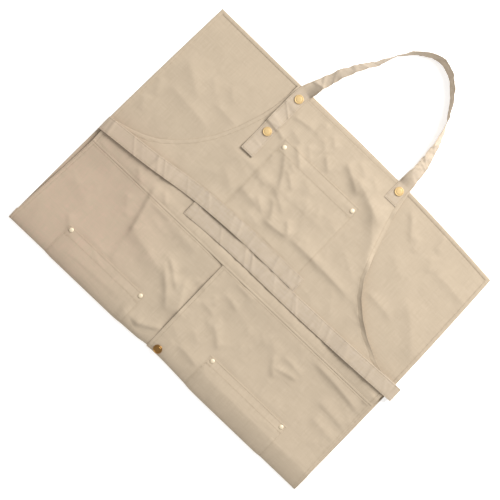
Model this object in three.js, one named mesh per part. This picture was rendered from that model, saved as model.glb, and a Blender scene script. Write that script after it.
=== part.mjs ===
// A split-leg pottery apron of canvas, folded in half and lying face up with its legs tucked behind it.
// Millimetres. X runs across the apron to the viewer's right, Y from the fold to the neck strap, Z up.
// Sizes are laid out from the middle of the waist seam, and the finished group is centred on its own box.
import * as THREE from "three";

const { lerp, clamp, smoothstep, degToRad } = THREE.MathUtils;

// Cloth
const CLOTH = 1.0; // canvas with its turned edges
const WEBBING = 1.2; // doubled cloth of the strap and ties
const GAP = 0.3; // room between neighbouring pieces
const STACK = CLOTH + GAP; // one layer of canvas and the room under it
const LAY = 3.3; // height of the front layer over the surface where it lies flat

// Waist and split
const SEAM_EDGE = -1; // lower edge of the bib, lapped over the legs
const LEG_TOP = 11; // top edge of the legs, under the bib
const SPLIT_X = -22; // free edge of the right leg, which lies on top
const LAP_X = 10; // free edge of the left leg, under the right one
const LAP_EASE = 26; // width over which a layer climbs onto the lapped strip
const SEAM_EASE = 18; // height over which the bib comes down from the legs

// Fold across the thighs
const FOLD_Y = -204; // outermost line of the fold
const FOLD_DIP = 4; // how far the fold draws in at the split
const FOLD_DIP_WIDTH = 50;
const FOLD_NOSE = 4.2; // height of the outermost line
const FOLD_TOP_RUN = 24; // how far the fold's upper shoulder reaches back
const FOLD_LOW_RUN = 9; // the same under it
const FOLD_PUFF = 5.5; // rise of the front layer towards the fold
const PUFF_START = 60; // the rise begins and ends this far under the waist seam
const PUFF_END = 172;
const NEST = 1.7; // how far the left leg's fold sits inside the right one's

// Leg backs, tucked behind the bib
const HEM_SAG = 1.9; // power of the curve of a leg's hem
const BACK_LIFT_EASE = 40; // length over which a leg's back comes down beside its pocket
const POCKET_DEPTH = 185; // of a thigh pocket, measured along the cloth
const LEGS = [
  {
    name: "left_leg",
    pocket: "left_leg_pocket",
    foldEdge: -361,
    waistEdge: -355,
    hemEdge: -340,
    inner: LAP_X,
    hemOuterY: 332,
    hemInnerY: 325,
    pocketOuter: -271,
    pocketInner: -83,
    pocketTop: -137,
  },
  {
    name: "right_leg",
    pocket: "right_leg_pocket",
    foldEdge: 350,
    waistEdge: 351,
    hemEdge: 344,
    inner: SPLIT_X,
    hemOuterY: 311,
    hemInnerY: 329,
    pocketOuter: 264,
    pocketInner: 74,
    pocketTop: -132,
  },
];

// Bib: left and right edge at each height, from the waist seam to the top
const BIB_ROWS = [
  { y: SEAM_EDGE, left: -354, right: 350 },
  { y: LEG_TOP, left: -354, right: 350 },
  { y: 24, left: -354, right: 350 },
  { y: 38, left: -353, right: 350 },
  { y: 50, left: -353, right: 350 },
  { y: 55, left: -338, right: 330 },
  { y: 61, left: -314, right: 302 },
  { y: 70, left: -288, right: 279 },
  { y: 83, left: -263, right: 250 },
  { y: 102, left: -240, right: 225 },
  { y: 127, left: -216, right: 200 },
  { y: 155, left: -196, right: 180 },
  { y: 178, left: -184, right: 171 },
  { y: 200, left: -174, right: 163 },
  { y: 222, left: -166, right: 156 },
  { y: 242, left: -159, right: 150 },
  { y: 262, left: -154, right: 144 },
  { y: 284, left: -150, right: 138 },
  { y: 306, left: -148, right: 134 },
  { y: 327, left: -147, right: 131 },
];
const BIB_SIDE_COLUMNS = 8;
const BIB_MIDDLE_COLUMNS = 8;
const EDGE_CURL = 4.5; // lift of the right armhole's edge
const CURL_WIDTH = 13; // it dies out this far from the edge
const CURL_Y = 112; // height at which the curl is strongest
const CURL_SPAN = 48;

// Chest pocket
const CHEST = { left: -97, right: 88, bottom: 70, top: 242 };

// Creases and soft waves of the front layer: a line on the cloth, half its width and its height
const CREASES = [
  { x0: 22, y0: 283, x1: 72, y1: 257, width: 15, height: 3.2 },
  { x0: 104, y0: 246, x1: 166, y1: 182, width: 20, height: 2.6 },
  { x0: -70, y0: 214, x1: -42, y1: 168, width: 15, height: 2.2 },
  { x0: -20, y0: 116, x1: 150, y1: 124, width: 16, height: 3.0 },
  { x0: -52, y0: 292, x1: -20, y1: 262, width: 15, height: 2.0 },
  { x0: -170, y0: 150, x1: -104, y1: 92, width: 20, height: 1.8 },
  { x0: -204, y0: -44, x1: -178, y1: -114, width: 17, height: 3.0 },
  { x0: -100, y0: -68, x1: -50, y1: -124, width: 16, height: 2.6 },
  { x0: 36, y0: -46, x1: 66, y1: -112, width: 17, height: 2.2 },
  { x0: 160, y0: -70, x1: 206, y1: -62, width: 16, height: 2.4 },
  { x0: 222, y0: -20, x1: 334, y1: -32, width: 15, height: 2.6 },
  { x0: -300, y0: -60, x1: -270, y1: -120, width: 26, height: 2.0 },
];

// Soft waves of the leg backs where they show beside the bib
const BACK_WAVES = [
  { x0: -330, y0: 210, x1: -250, y1: 160, width: 30, height: 1.6 },
  { x0: -300, y0: 300, x1: -220, y1: 270, width: 28, height: 1.3 },
  { x0: 230, y0: 205, x1: 320, y1: 150, width: 30, height: 1.7 },
  { x0: 190, y0: 290, x1: 270, y1: 250, width: 28, height: 1.3 },
];

// Neck strap: its middle line from the tail on the left of the bib, round the loop, to the sewn end.
// Turn is how far it is rolled from lying flat.
const STRAP_WIDTH = 27.5;
const STRAP_LEAVES = 336; // height up the apron at which it has left the bib
const STRAP_LANDS = 374; // and at which its outer edge is down on the surface
const STRAP_STATIONS = 66;
const STRAP_ROWS = [
  { x: -131.5, y: 175, turn: 0 },
  { x: -131.5, y: 225, turn: 0 },
  { x: -131.5, y: 280, turn: 0 },
  { x: -128, y: 327, turn: 0 },
  { x: -122, y: 350, turn: 32 },
  { x: -114.5, y: 375, turn: 48 },
  { x: -92, y: 425, turn: 60 },
  { x: -76, y: 450, turn: 65 },
  { x: -52, y: 495, turn: 88 },
  { x: -18, y: 525, turn: 106 },
  { x: 8, y: 535, turn: 112 },
  { x: 30, y: 531, turn: 112 },
  { x: 50, y: 518.5, turn: 108 },
  { x: 82, y: 480, turn: 99 },
  { x: 97, y: 445, turn: 80 },
  { x: 106.5, y: 405, turn: 58 },
  { x: 112, y: 375, turn: 45 },
  { x: 115, y: 348, turn: 30 },
  { x: 116.5, y: 328, turn: 0 },
  { x: 116.5, y: 300, turn: 0 },
  { x: 116.5, y: 288, turn: 0 },
];

// Waist ties: middle line across the front, then a turn round the side and a sewn end behind the bib
const TIE_WIDTH = 29;
const TIE_STEP = 20; // spacing of the stations along a tie
const TIE_SEWN = 36; // length of the sewn end behind the bib
const TIE_TURN_STEPS = 6;
const TIE_BACK = 2.0; // height of the middle of the sewn end
const RIGHT_TIE = {
  name: "right_waist_tie",
  side: 1,
  turnX: 364,
  rows: [
    { x: 364, y: 43.5 },
    { x: 250, y: 39.5 },
    { x: 100, y: 37 },
    { x: 0, y: 37.5 },
    { x: -60, y: 36.5 },
    { x: -138, y: 32 },
  ],
};
const LEFT_TIE = {
  name: "left_waist_tie",
  side: -1,
  turnX: -359,
  rows: [
    { x: -359, y: 38 },
    { x: -250, y: 47.5 },
    { x: -150, y: 58.5 },
    { x: -60, y: 66 },
    { x: 0, y: 68 },
    { x: 102, y: 65.5 },
  ],
};

// Metal fittings: radius and height along each turned profile
const RIVET_PROFILE = [
  { r: 4.3, z: 0 },
  { r: 4.3, z: 0.5 },
  { r: 3.4, z: 1.2 },
  { r: 1.8, z: 1.6 },
];
const RIVET_SIDES = 16;
const RIVETS = [
  { name: "chest_rivet_left", x: -88, y: 228.5 },
  { name: "chest_rivet_right", x: 79, y: 230 },
  { name: "left_leg_rivet_outer", x: -262, y: -143 },
  { name: "left_leg_rivet_inner", x: -91, y: -143 },
  { name: "right_leg_rivet_inner", x: 83.5, y: -138.5 },
  { name: "right_leg_rivet_outer", x: 254.5, y: -139 },
];
const SNAP_PROFILE = [
  { r: 7.2, z: 0 },
  { r: 8.4, z: 0.7 },
  { r: 8.5, z: 1.5 },
  { r: 7.6, z: 2.3 },
  { r: 4.2, z: 2.7 },
];
const SNAP_SIDES = 24;
const NECK_SNAPS = [
  { name: "neck_snap_upper_left", x: -128.5, y: 309 },
  { name: "neck_snap_lower_left", x: -130, y: 228 },
  { name: "neck_snap_right", x: 116, y: 313.5 },
];
const LEG_SNAP = { name: "leg_snap", x: -2.5, shoulder: 36 }; // shoulder: degrees down the fold's roll

// Spacing of the grids
const FRONT_ROWS = 7;
const POCKET_FRONT_ROWS = 3;
const SHOULDER_ROWS = 5;
const UNDER_ROWS = 3;
const POCKET_BACK_ROWS = 4;
const BACK_ROWS = 10;
const OUTER_COLUMNS = 4;
const POCKET_COLUMNS = 6;
const INNER_COLUMNS = 3;
const LAP_COLUMNS = 2;

// Colours
const CANVAS = { color: 0xd3c0a4, roughness: 0.95, metalness: 0 };
const TAPE = { color: 0xd1bea9, roughness: 0.95, metalness: 0 };
const BRASS = { color: 0xd8b062, roughness: 0.3, metalness: 1 };
const RIVET_METAL = { color: 0xf4ecdc, roughness: 0.35, metalness: 1 };

const FOOTPRINT = [-1, -0.5, 0, 0.5, 1];
const UP = new THREE.Vector3(0, 0, 1);

// Even steps from one value to another, without the first one.
function steps(from, to, count) {
  return Array.from({ length: count }, (_, i) => lerp(from, to, (i + 1) / count));
}

// Value of a column of a table at a place along another, in straight lines between its rows.
function along(rows, key, at, value) {
  const up = rows[rows.length - 1][key] > rows[0][key];
  const next = rows.findIndex((row, i) => i > 0 && (up ? row[key] >= at : row[key] <= at));
  const b = rows[next < 0 ? rows.length - 1 : next];
  const a = rows[rows.indexOf(b) - 1];
  return lerp(a[value], b[value], clamp((at - a[key]) / (b[key] - a[key]), 0, 1));
}

// Height that one crease adds at a point: a rounded ridge along its line.
function ridge(crease, x, y) {
  const line = new THREE.Vector2(crease.x1 - crease.x0, crease.y1 - crease.y0);
  const from = new THREE.Vector2(x - crease.x0, y - crease.y0);
  const place = clamp(from.dot(line) / line.lengthSq(), 0, 1);
  const off = from.sub(line.multiplyScalar(place)).length();
  return crease.height * Math.exp(-((off / crease.width) ** 2));
}

function ridges(table, x, y) {
  return table.reduce((sum, crease) => sum + ridge(crease, x, y), 0);
}

// Underside of the front layer, bib and leg fronts alike.
function frontHeight(x, y) {
  const puff = FOLD_PUFF * smoothstep(-y, PUFF_START, PUFF_END);
  return LAY + puff + ridges(CREASES, x, y);
}

// One over the strip where the right leg lies on the left one, falling away on the side or sides named.
function overLap(x, leftEase, rightEase) {
  const left = leftEase ? smoothstep(x, SPLIT_X - leftEase, SPLIT_X) : 1;
  const right = rightEase ? 1 - smoothstep(x, LAP_X, LAP_X + rightEase) : 1;
  return left * right;
}

function bibUnder(x, y) {
  const seam = 1 - smoothstep(y, LEG_TOP, LEG_TOP + SEAM_EASE);
  const strip = overLap(x + LAP_EASE / 2, LAP_EASE, 0) * overLap(x - LAP_EASE / 2, 0, LAP_EASE);
  const edge = along(BIB_ROWS, "y", y, "right") - x;
  const curl = Math.exp(-((edge / CURL_WIDTH) ** 2)) * Math.exp(-(((y - CURL_Y) / CURL_SPAN) ** 2));
  return frontHeight(x, y) + STACK * seam * (1 + strip) + EDGE_CURL * curl;
}

function inChest(x, y) {
  return x >= CHEST.left && x <= CHEST.right && y >= CHEST.bottom && y <= CHEST.top;
}

// Top of the bib and of the pocket on it.
function bibTop(x, y) {
  return bibUnder(x, y) + CLOTH + (inChest(x, y) ? STACK : 0);
}

// Height at which a strip or fitting lies clear of all that is under its footprint.
function restOn(surface, x, y, reachX, reachY) {
  const heights = FOOTPRINT.flatMap((i) => FOOTPRINT.map((j) => surface(x + i * reachX, y + j * reachY)));
  return Math.max(...heights) + GAP;
}

// Places along a leg's cloth, from its top under the bib, round the fold, to its hem.
function legStations(leg) {
  const rollStart = FOLD_Y + FOLD_TOP_RUN;
  const half = Math.PI / 2;
  const pocketEnd = FOLD_Y + POCKET_DEPTH - (leg.pocketTop - FOLD_Y);
  const front = [LEG_TOP, SEAM_EDGE, ...steps(SEAM_EDGE, leg.pocketTop, FRONT_ROWS)];
  const pocket = steps(leg.pocketTop, rollStart, POCKET_FRONT_ROWS);
  return [
    ...[...front, ...pocket].map((y) => ({ part: "front", y })),
    ...steps(0, half, SHOULDER_ROWS).map((angle) => ({ part: "shoulder", angle })),
    ...steps(0, half, UNDER_ROWS).map((angle) => ({ part: "under", angle })),
    ...steps(FOLD_Y + FOLD_LOW_RUN, pocketEnd, POCKET_BACK_ROWS).map((y) => ({ part: "back", y })),
    ...steps(pocketEnd, leg.hemOuterY, BACK_ROWS).map((y) => ({ part: "back", y })),
  ];
}

// Underside of a leg's back: raised over its own pocket, and over the other leg in the lapped strip.
function backHeight(leg, x, y) {
  const [low, high] = [leg.pocketOuter, leg.pocketInner].sort((a, b) => a - b);
  const pocketEnd = FOLD_Y + POCKET_DEPTH - (leg.pocketTop - FOLD_Y);
  const across =
    smoothstep(x, low - BACK_LIFT_EASE, low) * (1 - smoothstep(x, high, high + BACK_LIFT_EASE));
  const down = 1 - smoothstep(y, pocketEnd, pocketEnd + BACK_LIFT_EASE);
  const lapped = leg.inner === LAP_X ? overLap(x, LAP_EASE, 0) : 0;
  return STACK * Math.max(across * down, lapped) + ridges(BACK_WAVES, x, y);
}

// Outer face of a leg at a station and a place across it, with the direction out of the cloth.
function legOuter(leg, station, x) {
  const onTop = leg.inner === SPLIT_X;
  const lift = onTop ? STACK * overLap(x, 0, LAP_EASE) : 0;
  const dip = FOLD_DIP * Math.exp(-(((x - SPLIT_X) / FOLD_DIP_WIDTH) ** 2));
  const nest = onTop ? 0 : NEST * overLap(x, LAP_EASE, 0);
  const noseY = FOLD_Y + dip + nest;
  const top = (y) => frontHeight(x, y) + CLOTH + lift;
  if (station.part === "front") {
    const y = station.y < leg.pocketTop ? station.y + (noseY - FOLD_Y) : station.y;
    return { point: new THREE.Vector3(x, y, top(y)), out: UP.clone() };
  }
  if (station.part === "back") {
    const spread = clamp((x - leg.hemEdge) / (leg.inner - leg.hemEdge), 0, 1);
    const hem = lerp(leg.hemOuterY, leg.hemInnerY, 1 - (1 - spread) ** HEM_SAG);
    const share = (station.y - FOLD_Y) / (leg.hemOuterY - FOLD_Y);
    const y = lerp(noseY, hem, share);
    return { point: new THREE.Vector3(x, y, backHeight(leg, x, y)), out: UP.clone().negate() };
  }
  const sin = Math.sin(station.angle);
  const cos = Math.cos(station.angle);
  if (station.part === "shoulder") {
    const rise = top(noseY + FOLD_TOP_RUN) - FOLD_NOSE;
    return {
      point: new THREE.Vector3(x, noseY + FOLD_TOP_RUN * (1 - sin), FOLD_NOSE + rise * cos),
      out: new THREE.Vector3(0, -rise * sin, FOLD_TOP_RUN * cos).normalize(),
    };
  }
  const low = backHeight(leg, x, noseY + FOLD_LOW_RUN);
  const drop = FOLD_NOSE - low;
  return {
    point: new THREE.Vector3(x, noseY + FOLD_LOW_RUN * (1 - cos), low + drop * (1 - sin)),
    out: new THREE.Vector3(0, -drop * cos, -FOLD_LOW_RUN * sin).normalize(),
  };
}

// Side edge of a leg at a station.
function legEdge(leg, station) {
  if (station.part === "front") {
    return lerp(leg.waistEdge, leg.foldEdge, clamp(station.y / FOLD_Y, 0, 1));
  }
  if (station.part === "back") {
    const share = clamp((station.y - FOLD_Y) / (leg.hemOuterY - FOLD_Y), 0, 1);
    return lerp(leg.foldEdge, leg.hemEdge, share);
  }
  return leg.foldEdge;
}

// Places across a leg at a station: side edge, pocket, lapped strip and free edge.
function legColumns(leg, edge) {
  const [lapNear, lapFar] = leg.inner === LAP_X ? [SPLIT_X, LAP_X] : [LAP_X, SPLIT_X];
  return [
    edge,
    ...steps(edge, leg.pocketOuter, OUTER_COLUMNS),
    ...steps(leg.pocketOuter, leg.pocketInner, POCKET_COLUMNS),
    ...steps(leg.pocketInner, lapNear, INNER_COLUMNS),
    ...steps(lapNear, lapFar, LAP_COLUMNS),
  ];
}

// A closed solid between two faces, each a list of rows of points.
function sheetSolid(outer, inner) {
  const rows = outer.length;
  const columns = outer[0].length;
  const points = [...outer.flat(), ...inner.flat()];
  const at = (face, i, j) => (face * rows + i) * columns + j;
  const index = [];
  const quad = (a, b, c, d) => index.push(a, b, c, a, c, d);
  for (let i = 0; i < rows - 1; i++) {
    for (let j = 0; j < columns - 1; j++) {
      quad(at(0, i, j), at(0, i, j + 1), at(0, i + 1, j + 1), at(0, i + 1, j));
      quad(at(1, i, j), at(1, i + 1, j), at(1, i + 1, j + 1), at(1, i, j + 1));
    }
  }
  for (let i = 0; i < rows - 1; i++) {
    quad(at(0, i, 0), at(0, i + 1, 0), at(1, i + 1, 0), at(1, i, 0));
    quad(at(0, i + 1, columns - 1), at(0, i, columns - 1), at(1, i, columns - 1), at(1, i + 1, columns - 1));
  }
  for (let j = 0; j < columns - 1; j++) {
    quad(at(0, 0, j + 1), at(0, 0, j), at(1, 0, j), at(1, 0, j + 1));
    quad(at(0, rows - 1, j), at(0, rows - 1, j + 1), at(1, rows - 1, j + 1), at(1, rows - 1, j));
  }
  return facesOut(points, index);
}

// Geometry of a closed surface with every face turned outwards.
function facesOut(points, index) {
  let volume = 0;
  for (let i = 0; i < index.length; i += 3) {
    const [a, b, c] = [points[index[i]], points[index[i + 1]], points[index[i + 2]]];
    volume += a.dot(b.clone().cross(c));
  }
  const geometry = new THREE.BufferGeometry().setFromPoints(points);
  geometry.setIndex(volume < 0 ? index.reverse() : index);
  geometry.computeVertexNormals();
  return geometry;
}

// A flat strip along stations, each a middle point and the direction across it.
function ribbon(stations, width, thickness) {
  const outer = [];
  const inner = [];
  stations.forEach(({ middle, across }, i) => {
    const before = stations[Math.max(i - 1, 0)].middle;
    const after = stations[Math.min(i + 1, stations.length - 1)].middle;
    const face = new THREE.Vector3().crossVectors(across, after.clone().sub(before)).normalize();
    const edges = [-width / 2, width / 2].map((d) => middle.clone().addScaledVector(across, d));
    outer.push(edges.map((p) => p.clone().addScaledVector(face, thickness / 2)));
    inner.push(edges.map((p) => p.clone().addScaledVector(face, -thickness / 2)));
  });
  return sheetSolid(outer, inner);
}

function mesh(name, geometry, look) {
  const made = new THREE.Mesh(geometry, new THREE.MeshStandardMaterial(look));
  made.name = name;
  return made;
}

function bibPanel() {
  const grid = BIB_ROWS.map(({ y, left, right }) => {
    const ease = (i) => Math.sin((Math.PI / 2) * (i / BIB_SIDE_COLUMNS));
    const near = steps(0, BIB_SIDE_COLUMNS, BIB_SIDE_COLUMNS);
    const columns = [
      left,
      ...near.map((i) => lerp(left, CHEST.left, 1 - ease(BIB_SIDE_COLUMNS - i))),
      ...steps(CHEST.left, CHEST.right, BIB_MIDDLE_COLUMNS),
      ...near.map((i) => lerp(CHEST.right, right, ease(i))),
    ];
    return columns.map((x) => new THREE.Vector3(x, y, bibUnder(x, y)));
  });
  const top = grid.map((row) => row.map((p) => p.clone().addScaledVector(UP, CLOTH)));
  return mesh("bib_panel", sheetSolid(top, grid), CANVAS);
}

function chestPocket() {
  const rows = BIB_ROWS.filter(({ y }) => y >= CHEST.bottom && y <= CHEST.top);
  const columns = [CHEST.left, ...steps(CHEST.left, CHEST.right, BIB_MIDDLE_COLUMNS)];
  const face = (offset) =>
    rows.map(({ y }) => columns.map((x) => new THREE.Vector3(x, y, bibUnder(x, y) + offset)));
  return mesh("chest_pocket", sheetSolid(face(STACK + CLOTH), face(STACK)), CANVAS);
}

function legPanel(leg) {
  const faces = legStations(leg).map((station) =>
    legColumns(leg, legEdge(leg, station)).map((x) => legOuter(leg, station, x)),
  );
  const face = (offset) =>
    faces.map((row) => row.map(({ point, out }) => point.clone().addScaledVector(out, offset)));
  return mesh(leg.name, sheetSolid(face(0), face(-CLOTH)), CANVAS);
}

function legPocket(leg) {
  const columns = [leg.pocketOuter, ...steps(leg.pocketOuter, leg.pocketInner, POCKET_COLUMNS)];
  const all = legStations(leg);
  const first = all.findIndex(({ y }) => y === leg.pocketTop);
  const last = all.length - BACK_ROWS;
  const faces = all
    .slice(first, last)
    .map((station) => columns.map((x) => legOuter(leg, station, x)));
  const face = (offset) =>
    faces.map((row) => row.map(({ point, out }) => point.clone().addScaledVector(out, offset)));
  return mesh(leg.pocket, sheetSolid(face(STACK), face(GAP)), CANVAS);
}

// Underside of the neck strap where it lies on the bib.
function strapRest(x, y) {
  return restOn(bibTop, x, y, STRAP_WIDTH / 2, STRAP_WIDTH / 2);
}

function neckStrap() {
  const path = new THREE.CatmullRomCurve3(STRAP_ROWS.map(({ x, y }) => new THREE.Vector3(x, y, 0)));
  const roll = new THREE.CatmullRomCurve3(STRAP_ROWS.map(({ turn }) => new THREE.Vector3(turn, 0, 0)));
  const stations = [0, ...steps(0, 1, STRAP_STATIONS)].map((t) => {
    const flat = path.getPoint(t);
    const inward = path.getTangent(t).cross(UP).normalize();
    const angle = degToRad(Math.max(roll.getPoint(t).x, 0));
    const standing = (STRAP_WIDTH / 2) * Math.sin(angle) + (WEBBING / 2) * Math.abs(Math.cos(angle));
    const onBib = 1 - smoothstep(flat.y, STRAP_LEAVES, STRAP_LANDS);
    return {
      middle: new THREE.Vector3(flat.x, flat.y, onBib * strapRest(flat.x, flat.y) + standing),
      across: inward.multiplyScalar(Math.cos(angle)).addScaledVector(UP, Math.sin(angle)),
    };
  });
  return mesh("neck_strap", ribbon(stations, STRAP_WIDTH, WEBBING), TAPE);
}

// Top of a tie where it crosses a point, or nothing beside it.
function tieTop(tie, surface, x, y) {
  const middle = along(tie.rows, "x", x, "y");
  const ends = tie.rows.map((row) => row.x);
  const inside = x >= Math.min(...ends) - TIE_STEP && x <= Math.max(...ends);
  const beside = Math.abs(y - middle) > TIE_WIDTH / 2 + CLOTH;
  return inside && !beside ? restOn(surface, x, middle, TIE_STEP, TIE_WIDTH / 2) + WEBBING : 0;
}

function waistTie(tie, surface) {
  const inwards = -tie.side;
  const end = tie.rows[tie.rows.length - 1].x;
  const run = Math.round(Math.abs(end - tie.turnX) / TIE_STEP);
  const lieAt = (x) => restOn(surface, x, along(tie.rows, "x", x, "y"), TIE_STEP, TIE_WIDTH / 2);
  const top = lieAt(tie.turnX + inwards * TIE_SEWN) + WEBBING / 2;
  const radius = (top - TIE_BACK) / 2;
  const turnAt = tie.turnX + inwards * radius;
  const sewnY = along(tie.rows, "x", tie.turnX, "y");
  const places = [
    { x: turnAt + inwards * TIE_SEWN, z: TIE_BACK },
    ...[0, ...steps(0, Math.PI, TIE_TURN_STEPS)].map((angle) => ({
      x: turnAt - inwards * radius * Math.sin(angle),
      z: TIE_BACK + radius * (1 - Math.cos(angle)),
    })),
    ...steps(turnAt, end, run).map((x) => ({
      x,
      z: Math.abs(x - tie.turnX) < TIE_SEWN ? top : lieAt(x) + WEBBING / 2,
    })),
  ];
  const stations = places.map(({ x, z }, i) => {
    const onTop = i > TIE_TURN_STEPS;
    const y = onTop ? along(tie.rows, "x", x, "y") : sewnY;
    return { middle: new THREE.Vector3(x, y, z), across: new THREE.Vector3(0, 1, 0) };
  });
  return mesh(tie.name, ribbon(stations, TIE_WIDTH, WEBBING), TAPE);
}

// A turned fitting standing on its own underside.
function turned(name, profile, sides, look) {
  const wall = profile.map(({ r, z }) => new THREE.Vector2(r, z));
  const { z: base } = profile[0];
  const { z: crown } = profile[profile.length - 1];
  const outline = [new THREE.Vector2(0, base), ...wall, new THREE.Vector2(0, crown)];
  return mesh(name, new THREE.LatheGeometry(outline, sides).rotateX(Math.PI / 2), look);
}

// Top of the whole front, with the pockets on it.
function frontTop(x, y) {
  if (y > SEAM_EDGE) {
    return bibTop(x, y);
  }
  const pocketed = LEGS.some(({ pocketOuter, pocketInner, pocketTop }) => {
    const between = (x - pocketOuter) * (x - pocketInner) <= 0;
    return between && y <= pocketTop;
  });
  return frontHeight(x, y) + CLOTH + (pocketed ? STACK : 0);
}

function rivet({ name, x, y }) {
  const made = turned(name, RIVET_PROFILE, RIVET_SIDES, RIVET_METAL);
  const { r } = RIVET_PROFILE[0];
  made.geometry.translate(x, y, restOn(frontTop, x, y, r, r));
  return made;
}

function neckSnap({ name, x, y }) {
  const made = turned(name, SNAP_PROFILE, SNAP_SIDES, BRASS);
  made.geometry.translate(x, y, strapRest(x, y) + WEBBING + GAP);
  return made;
}

function legSnap({ name, x, shoulder }) {
  const made = turned(name, SNAP_PROFILE, SNAP_SIDES, BRASS);
  const leg = LEGS.find(({ inner }) => inner === SPLIT_X);
  const { point, out } = legOuter(leg, { part: "shoulder", angle: degToRad(shoulder) }, x);
  made.geometry.applyQuaternion(new THREE.Quaternion().setFromUnitVectors(UP, out));
  const seat = point.addScaledVector(out, GAP);
  made.geometry.translate(seat.x, seat.y, seat.z);
  return made;
}

const overRightTie = (x, y) => Math.max(bibTop(x, y), tieTop(RIGHT_TIE, bibTop, x, y));

const apron = new THREE.Group();
apron.name = "pottery_apron";
apron.add(
  bibPanel(),
  ...LEGS.map(legPanel),
  chestPocket(),
  ...LEGS.map(legPocket),
  neckStrap(),
  waistTie(RIGHT_TIE, bibTop),
  waistTie(LEFT_TIE, overRightTie),
  ...RIVETS.map(rivet),
  ...NECK_SNAPS.map(neckSnap),
  legSnap(LEG_SNAP),
);

// The origin is under the middle of the apron's box, on the surface it lies on.
const box = new THREE.Box3().setFromObject(apron);
const middle = box.getCenter(new THREE.Vector3());
apron.children.forEach(({ geometry }) => geometry.translate(-middle.x, -middle.y, -box.min.z));

export default apron;
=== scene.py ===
"""Looks of a folded split-leg pottery apron: canvas, pockets, strap, ties, stitches and metal caps."""
import math
from collections import namedtuple

import bmesh
import bpy
import numpy as np
from mathutils import Matrix, Vector


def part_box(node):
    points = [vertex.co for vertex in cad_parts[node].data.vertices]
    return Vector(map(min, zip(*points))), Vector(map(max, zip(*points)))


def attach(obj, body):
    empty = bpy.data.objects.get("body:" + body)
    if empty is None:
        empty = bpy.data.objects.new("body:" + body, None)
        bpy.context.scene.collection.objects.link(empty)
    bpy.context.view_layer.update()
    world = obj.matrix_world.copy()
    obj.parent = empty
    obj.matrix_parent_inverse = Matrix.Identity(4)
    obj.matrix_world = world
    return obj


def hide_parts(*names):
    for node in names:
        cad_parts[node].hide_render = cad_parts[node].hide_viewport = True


bl_info = {
    "name": "Pottery apron",
    "version": (1, 0, 0),
    "blender": (4, 5, 0),
    "location": "View3D > Sidebar > Apron",
    "description": "Dresses a folded pottery apron in canvas, thread, brass and bright rivets",
    "category": "Object",
}

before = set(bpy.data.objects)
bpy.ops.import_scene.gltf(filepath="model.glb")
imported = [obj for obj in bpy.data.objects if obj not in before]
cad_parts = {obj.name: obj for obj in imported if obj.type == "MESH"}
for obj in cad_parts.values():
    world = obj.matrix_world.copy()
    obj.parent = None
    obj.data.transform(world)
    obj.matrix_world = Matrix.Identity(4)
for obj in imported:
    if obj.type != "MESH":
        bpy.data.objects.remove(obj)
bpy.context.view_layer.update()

# Tables are in millimetres from the middle of the waist seam, X to the viewer's right and Y to the neck.
MM = 0.001
BODY = "root"
UV_NAME = "cloth"

# Layers of cloth: its thickness, the gaps between layers, how high the front lies and a lapped layer rises
CLOTH = 1.0
GAP = 0.25
SEWN_GAP = 0.1
LAY = 3.3
LIFTED_LAYER = 1.3

# Waist and split
SEAM_EDGE = -1.0
LEG_TOP = 11.0
SPLIT_X = -22.0
LAP_X = 10.0
LAP_EASE = 26.0
SEAM_EASE = 18.0
SPLIT_LIFT = 2.8
SPLIT_LIFT_WIDTH = 22.0
SPLIT_LIFT_TOP = (-8.0, -40.0)
SPLIT_LIFT_FOOT = (-182.0, -140.0)

# Fold across the thighs
FOLD_Y = -204.0
FOLD_DIP = 4.0
FOLD_DIP_X = 5.0
FOLD_DIP_WIDTH = 60.0
FOLD_NOSE = 4.2
FOLD_TOP_RUN = 24.0
FOLD_WIDE_RUN = 10.5
FOLD_TUCK = 13.0
FOLD_TUCK_X = -54.0
FOLD_TUCK_WIDTH = 26.0
FOLD_LOW_RUN = 9.0
FOLD_PUFF = 5.5
ROLL_PUFF = 2.2
ROLL_EASE = (128.0, 172.0)
PUFF_EASE = (60.0, 172.0)
WIDE_FOLD = (30.0, 90.0)
DROP_POWER = 1.9
DROP_POWER_LOSS = 0.6
NOSE_POWER = 2.0
NOSE_POWER_LOSS = 0.5
SHOULDER_ROWS = 17
UNDER_ROWS = 7
NEST = 1.7
RUN_BLEND_Y = -142.0

# Leg backs
HEM_SAG = 1.9
BACK_LIFT_EASE = 40.0
POCKET_DEPTH = 185.0
POCKET_BACK_ROWS = 14

# Side edges at the fold, waist and hem with the bulge of the back one, the inner edge, heights of the hem's
# two ends, and the pocket's outer and near edge and its mouth
Leg = namedtuple("Leg", (
    "name pocket fold_edge waist_edge hem_edge bulge inner hem_outer_y hem_inner_y outer near top"))
LEGS = (
    Leg("left_leg", "left_leg_pocket", -361, -347, -341, -2.5, LAP_X, 333, 330, -271, -83, -137),
    Leg("right_leg", "right_leg_pocket", 350, 347, 346, 4.0, SPLIT_X, 312, 330, 264, 74, -132),
)

# Bib: its side edges at each height, the steps in which they are drawn, and the curl of the right one
EdgeRow = namedtuple("EdgeRow", "y left right")
BIB_ROWS = tuple(map(EdgeRow._make, (
    (-1, -347, 347), (24, -347, 347), (50, -347, 347), (55, -338, 330), (61, -314, 305), (70, -288, 285),
    (83, -263, 257), (102, -240, 228), (127, -216, 200), (155, -196, 180), (178, -184, 171),
    (200, -174, 163), (222, -166, 156), (242, -159, 150), (262, -154, 144), (284, -150, 138),
    (306, -148, 134), (327, -147, 131),
)))
BIB_TOP_Y = BIB_ROWS[-1].y
PACKED_BIB_LEFT = -354.0
EDGE_STEPS = 1313
EASE_STEPS = 33
LEAN_LIMIT = 3.4
EDGE_CURL = 6.0
CURL_WIDTH = 4.0
CURL_Y = 116.0
CURL_SPAN = 46.0

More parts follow.
